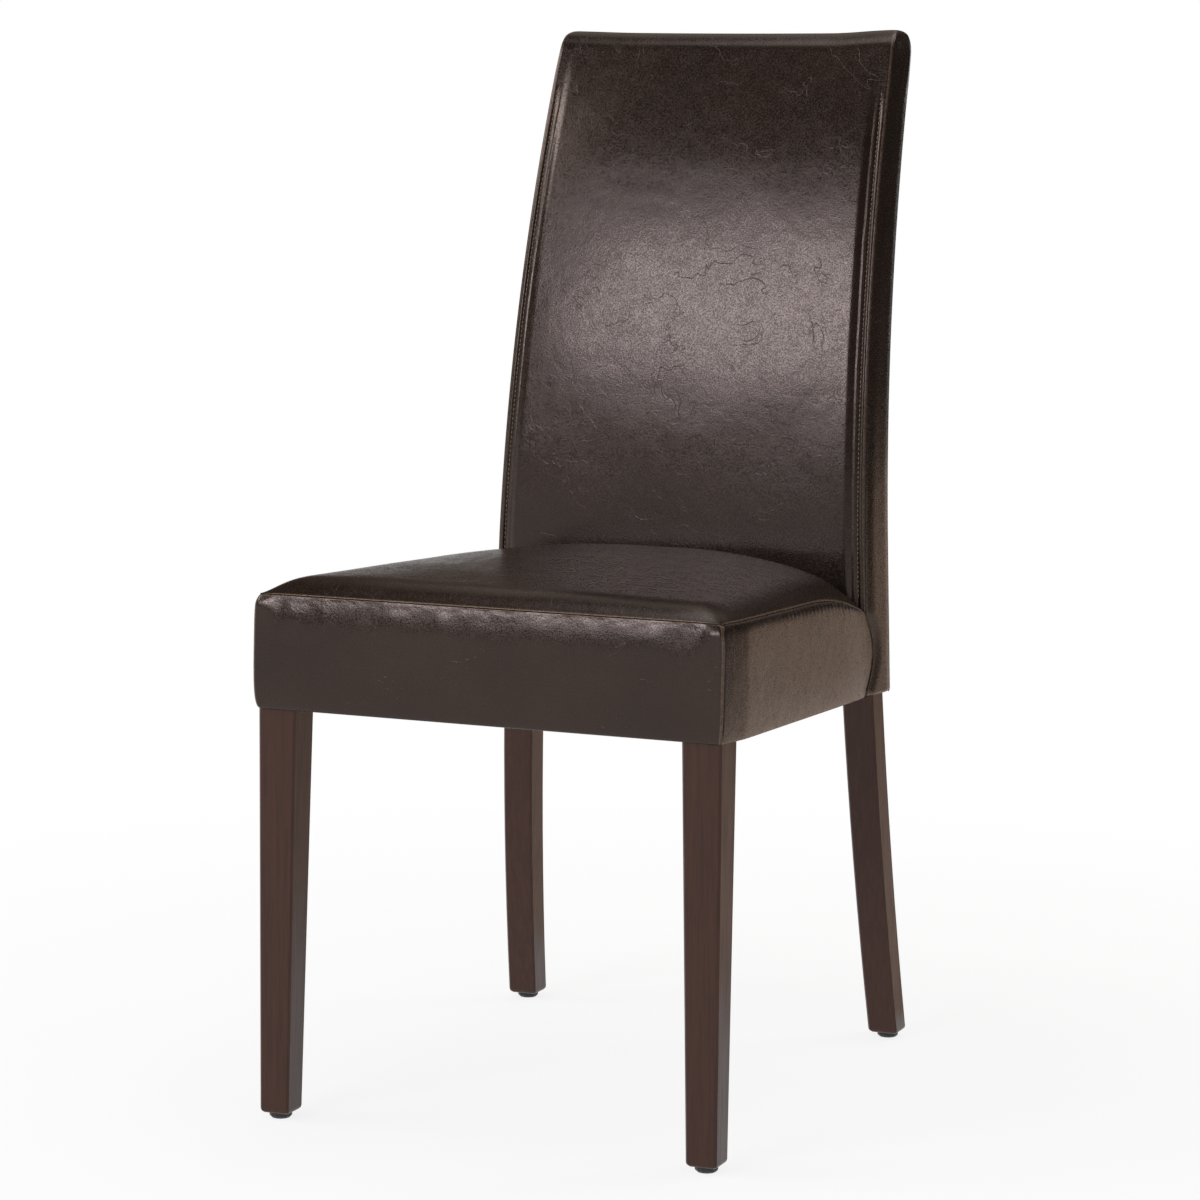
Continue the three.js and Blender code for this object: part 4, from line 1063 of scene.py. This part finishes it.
def makeBackRear():
    cover = backCover
    high = rearSeam - skin["seam"]
    low = underside(back["rearFace"])
    length = high - low
    hemShares = (1.01, 1.3, 1.65, 2.0)

    def face(t, s):
        u = 2 * t - 1
        z = mix(high, low, min(s, 1))
        half = backEdge(z) - skin["seam"] / 2
        x = u * half
        edge = half - abs(x)
        if s > 1:
            y = mix(back["rearFace"] - cover["footTurn"], back["rearFace"] - cover["rearHem"], s - 1)
            return Vector((x, y, underside(y)))
        fades = [smooth(distance / cover["rearSwellRun"]) for distance in (edge, z - low, high - z)]
        swell = cover["rearSwell"] * math.prod(fades)
        wave = cover["waves"] * ripple(x, z, cover["waveSize"], 8.8) * smooth(edge / cover["waveEdge"])
        turn = rolled(edge, cover["rearTurn"]) + rolled(high - z, cover["turn"])
        turn += rolled(z - low, cover["footTurn"])
        return Vector((x, backRear(z) + swell + wave - turn, settled(u, z)))

    def inside(t, s):
        p = face(t, s)
        if s > 1:
            return p + Vector((0, 0, skin["leather"]))
        return Vector((p.x, backRear(p.z) - cover["rearPad"], max(p.z, low + skin["leather"])))

    def keep(t, s):
        return s <= 1 or abs(2 * t - 1) * seat["rearWidth"] / 2 < cover["hemHalf"]

    # seam wear and painted highlight along the rear cover's sides and top
    def wearAndHighlight(t, s):
        edge = (1 - abs(2 * t - 1)) * seat["rearWidth"] / 2
        return max(wearAndHighlightAt(edge, cover["rearSideWearAndHighlight"]), wearAndHighlightAt(s * length, cover["rearTopWearAndHighlight"])) * (s <= 1)

    columns = stops(seat["rearWidth"], cover["columnStep"], seamSteps)
    rows = stops(length, cover["rearStep"], seamSteps, seamSteps) + list(hemShares)
    piece = closedForm("back_rear_cover", columns, rows, face, inside, (leather, foam), keep, wearAndHighlight)
    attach(piece, "root")
    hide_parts("back_rear_panel", "back_rear_padding")


makeBackCushion()
makeBackStitches()
for word, side in sides:
    makeBackSide(word, side)
makeBackRear()
print("back made")


# Cloth under the seat

underCloth = {
    "step": 0.008,
    "gap": 0.0003,
    "thick": 0.0005,
    "sag": 0.0030,
    "sagRun": 0.07,  # it is taut over the rails and sags this far in
    "waves": 0.0008,
    "waveSize": 0.05,
    "pull": 0.0003,  # the staples draw it up
    "pullAt": 0.012,
    "pullWide": 0.010,
    "staplePitch": 0.042,
    "stapleIn": 0.006,
    "stapleWide": 0.010,
    "stapleTurn": 0.25,  # none lies quite along its rail
    "stapleVary": 0.02,
    "wire": (0.0011, 0.0006),
    "wireRound": 0.0002,
}


def outlineOf(bm):  # the open edges of a flat sheet, as pairs of places
    return [tuple(v.co.xy for v in e.verts) for e in bm.edges if e.is_boundary]


def edgeDistance(point, outline):
    best = 1.0
    for a, b in outline:
        run = b - a
        t = clip((point - a).dot(run) / run.length_squared)
        best = min(best, (point - a - run * t).length)
    return best


def makeUnderCloth():
    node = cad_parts["dust_cover"]
    bm = bmesh.new()
    bm.from_mesh(node.data)
    bm.transform(node.matrix_world)
    upper = [f for f in bm.faces if f.normal.z > -0.5]
    bmesh.ops.delete(bm, geom=upper, context="FACES")
    bmesh.ops.remove_doubles(bm, verts=bm.verts[:], dist=0.00001)
    bmesh.ops.dissolve_limit(bm, angle_limit=0.02, verts=bm.verts[:], edges=bm.edges[:])
    outline = outlineOf(bm)
    flatArea = sum(f.calc_area() for f in bm.faces)
    low = [min(v.co[axis] for v in bm.verts) for axis in (0, 1)]
    high = [max(v.co[axis] for v in bm.verts) for axis in (0, 1)]
    for axis in (0, 1):
        count = round((high[axis] - low[axis]) / underCloth["step"])
        for i in range(1, count):
            place, way = Vector(), Vector()
            place[axis] = mix(low[axis], high[axis], i / count)
            way[axis] = 1
            everything = bm.verts[:] + bm.edges[:] + bm.faces[:]
            bmesh.ops.bisect_plane(bm, geom=everything, plane_co=place, plane_no=way)
    drawn = bmesh.ops.extrude_face_region(bm, geom=bm.faces[:], use_keep_orig=True)["geom"]
    upperVerts = {item for item in drawn if isinstance(item, bmesh.types.BMVert)}
    for vert in bm.verts:
        x, y = vert.co.xy
        inward = edgeDistance(vert.co.xy, outline)
        wave = underCloth["waves"] * ripple(x, y, underCloth["waveSize"], 6.1)
        sag = (underCloth["sag"] - wave) * smooth(inward / underCloth["sagRun"])
        pull = underCloth["pull"] * math.cos(2 * math.pi * (x + y) / underCloth["staplePitch"])
        pull *= bell(inward, underCloth["pullAt"], underCloth["pullWide"])
        z = underside(y - frontY) - underCloth["gap"] - max(0.0, sag + pull)
        vert.co.z = z if vert in upperVerts else z - underCloth["thick"]
    roundFaces(bm)
    piece = pieceFrom("under_cloth", bm, (blackCloth,))
    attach(piece, "root")
    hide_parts("dust_cover")
    makeStaples(outline)


def makeStaples(outline):
    bm = bmesh.new()
    middle = sum((a + b for a, b in outline), Vector((0, 0))) / (2 * len(outline))
    for a, b in outline:
        run = b - a
        count = max(1, round(run.length / underCloth["staplePitch"]))
        inward = Vector((-run.y, run.x)).normalized() * underCloth["stapleIn"]
        if inward.dot(middle - (a + b) / 2) < 0:
            inward = -inward
        for i in range(count):
            x, y = a + run * (i + 0.5) / count + inward
            z = underside(y - frontY) - underCloth["gap"] - underCloth["thick"] - underCloth["wire"][1] / 2
            angle = math.atan2(run.y, run.x)
            angle += underCloth["stapleTurn"] * ripple(x, y, underCloth["stapleVary"], 2.2)
            turn = Matrix.Rotation(angle, 4, "Z")
            size = Matrix.Diagonal((underCloth["stapleWide"], *underCloth["wire"], 1))
            cube = bmesh.ops.create_cube(bm, size=1, matrix=Matrix.Translation((x, y, z)) @ turn @ size)
            edges = list({e for v in cube["verts"] for e in v.link_edges})
            bmesh.ops.bevel(bm, geom=edges, offset=underCloth["wireRound"], segments=2, profile=0.5,
                            affect="EDGES", material=-1)
    roundFaces(bm)
    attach(pieceFrom("under_cloth_staples", bm, (steel,)), "root")


makeUnderCloth()
print("under cloth made")


# Finishes of the frame

for name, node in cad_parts.items():
    finish = None
    if name.startswith(("front_leg", "rear_post")):
        finish = stainedWood
    elif "screw" in name:
        finish = steel
    elif "glide" in name:
        finish = nylon
    elif "webbing" in name:
        finish = webbing
    elif "rail" in name or "block" in name:
        finish = rawWood
    if finish:
        node.data.materials.clear()
        node.data.materials.append(finish)


# Studio

studio = {
    "floorRadius": 4.2,
    "floorShade": (0.78, 0.77, 0.76),
    "skyShade": 0.36,  # soft light from all round
    "room": (0.125, 0.094, 0.076),  # the dim room above the white ground
    "ceiling": (0.055, 0.040, 0.032),
    "whiteUpTo": 0.035,  # sine of the angle above level
    "roomFrom": 0.08,
    "ceilingFrom": 0.45,
    "nearWhite": 0.84,  # share of plain white round the feet, the rest shows the shadow
    "nearUpTo": 0.10,  # shares of the floor's radius
    "whiteFrom": 0.34,
}


def makeWorld():
    n = Nodes("studioWorld", world=True)
    height = n.add("ShaderNodeSeparateXYZ", {0: n.coordinates}).outputs["Z"]
    around = n.ramp(height, ((studio["whiteUpTo"], (1, 1, 1)), (studio["roomFrom"], studio["room"]),
                             (studio["ceilingFrom"], studio["ceiling"])))
    n.feed(n.shader.inputs["Color"], n.blend(n.seen(), (studio["skyShade"],) * 3, around))
    scene.world = n.owner


def makeFloor():
    bm = bmesh.new()
    bmesh.ops.create_circle(bm, cap_ends=True, segments=96, radius=studio["floorRadius"])
    n = Nodes("paleFloor")
    floor = pieceFrom("studio_floor", bm, (n.finish(studio["floorShade"], 0.9),))
    away = n.add("ShaderNodeVectorMath", {0: n.coordinates}, operation="LENGTH").outputs["Value"]
    share = n.math("MULTIPLY", away, 1 / studio["floorRadius"])
    white = n.ramp(share, ((studio["nearUpTo"], studio["nearWhite"]), (studio["whiteFrom"], 1.0)))
    inputs = {0: n.math("MULTIPLY", n.seen(), white), 1: n.shader.outputs[0],
              2: n.add("ShaderNodeEmission").outputs[0]}
    both = n.add("ShaderNodeMixShader", inputs)
    n.feed(n.tree.nodes["Material Output"].inputs["Surface"], both.outputs[0])


def makeCard(name, place, turn, tilt, size, shade):  # a card out of view, for the leather to mirror
    bm = bmesh.new()
    bmesh.ops.create_grid(bm, x_segments=8, y_segments=6, size=0.5)
    wide, high = size
    bmesh.ops.scale(bm, verts=bm.verts, vec=(wide, high, 1))
    bmesh.ops.rotate(bm, verts=bm.verts, matrix=Matrix.Rotation(math.radians(tilt), 3, "X"))
    bmesh.ops.rotate(bm, verts=bm.verts, matrix=Matrix.Rotation(math.radians(turn), 3, "Z"))
    bmesh.ops.translate(bm, verts=bm.verts, vec=place)
    panel = pieceFrom(name, bm, (Nodes(name).finish(shade, 0.95),))
    panel.visible_camera = panel.visible_shadow = panel.visible_diffuse = False


cards = {  # the flag and the shade keep a surface dark, the bounce and the mat warm it
    "studio_flag": {"place": (1.54, 2.34, 1.1), "turn": -30, "tilt": 90, "size": (3.2, 2.2),
                    "shade": (0.035, 0.026, 0.020)},
    "studio_bounce": {"place": (0.78, 2.40, 0.2), "turn": -24, "tilt": 90, "size": (1.25, 0.40),
                      "shade": (0.66, 0.48, 0.36)},
    "studio_mat": {"place": (0.60, 1.36, 0.002), "turn": -20, "tilt": 0, "size": (1.3, 2.2),
                   "shade": (0.88, 0.70, 0.58)},
    "studio_shade": {"place": (1.92, 1.10, 0.003), "turn": -26, "tilt": 0, "size": (1.3, 2.6),
                     "shade": (0.035, 0.026, 0.020)},
}


def makeLight(name, place, target, size, power, color):
    data = bpy.data.lights.new(name, "AREA")
    data.shape = "RECTANGLE"
    data.size, data.size_y = size
    data.energy = power
    data.color = color
    lamp = bpy.data.objects.new(name, data)
    scene.collection.objects.link(lamp)
    lamp.visible_camera = False
    lamp.location = place
    lamp.rotation_euler = (Vector(target) - Vector(place)).to_track_quat("-Z", "Y").to_euler()


lights = {
    "frontSoftbox": {"place": (-1.04, -3.3, 1.98), "target": (0, 0, 0.8), "size": (1.6, 1.1),
                     "power": 58, "color": (0.96, 1.0, 1.1)},
    "topSoftbox": {"place": (0.2, 0.35, 3.4), "target": (0.1, 0.1, 0.5), "size": (2.2, 2.2),
                   "power": 30, "color": (1, 1, 1)},
    "leftSoftbox": {"place": (-2.83, -1.24, 2.73), "target": (-0.18, 0.17, 0.93), "size": (2.2, 1.1),
                    "power": 52, "color": (1.0, 0.97, 0.95)},
    "rearTopSoftbox": {"place": (0.0, 2.5, 3.2), "target": (0, 0, 0.5), "size": (4.0, 2.2),
                       "power": 10, "color": (1.0, 0.87, 0.77)},
    "rimSoftbox": {"place": (1.98, 1.51, 2.52), "target": (0.1, 0.2, 0.9), "size": (0.8, 0.8),
                   "power": 14, "color": (1, 1, 1)},
}

makeWorld()
makeFloor()
for name, card in cards.items():
    makeCard(name, **card)
for name, light in lights.items():
    makeLight(name, **light)
scene.view_settings.view_transform = "Standard"
print("studio lit")
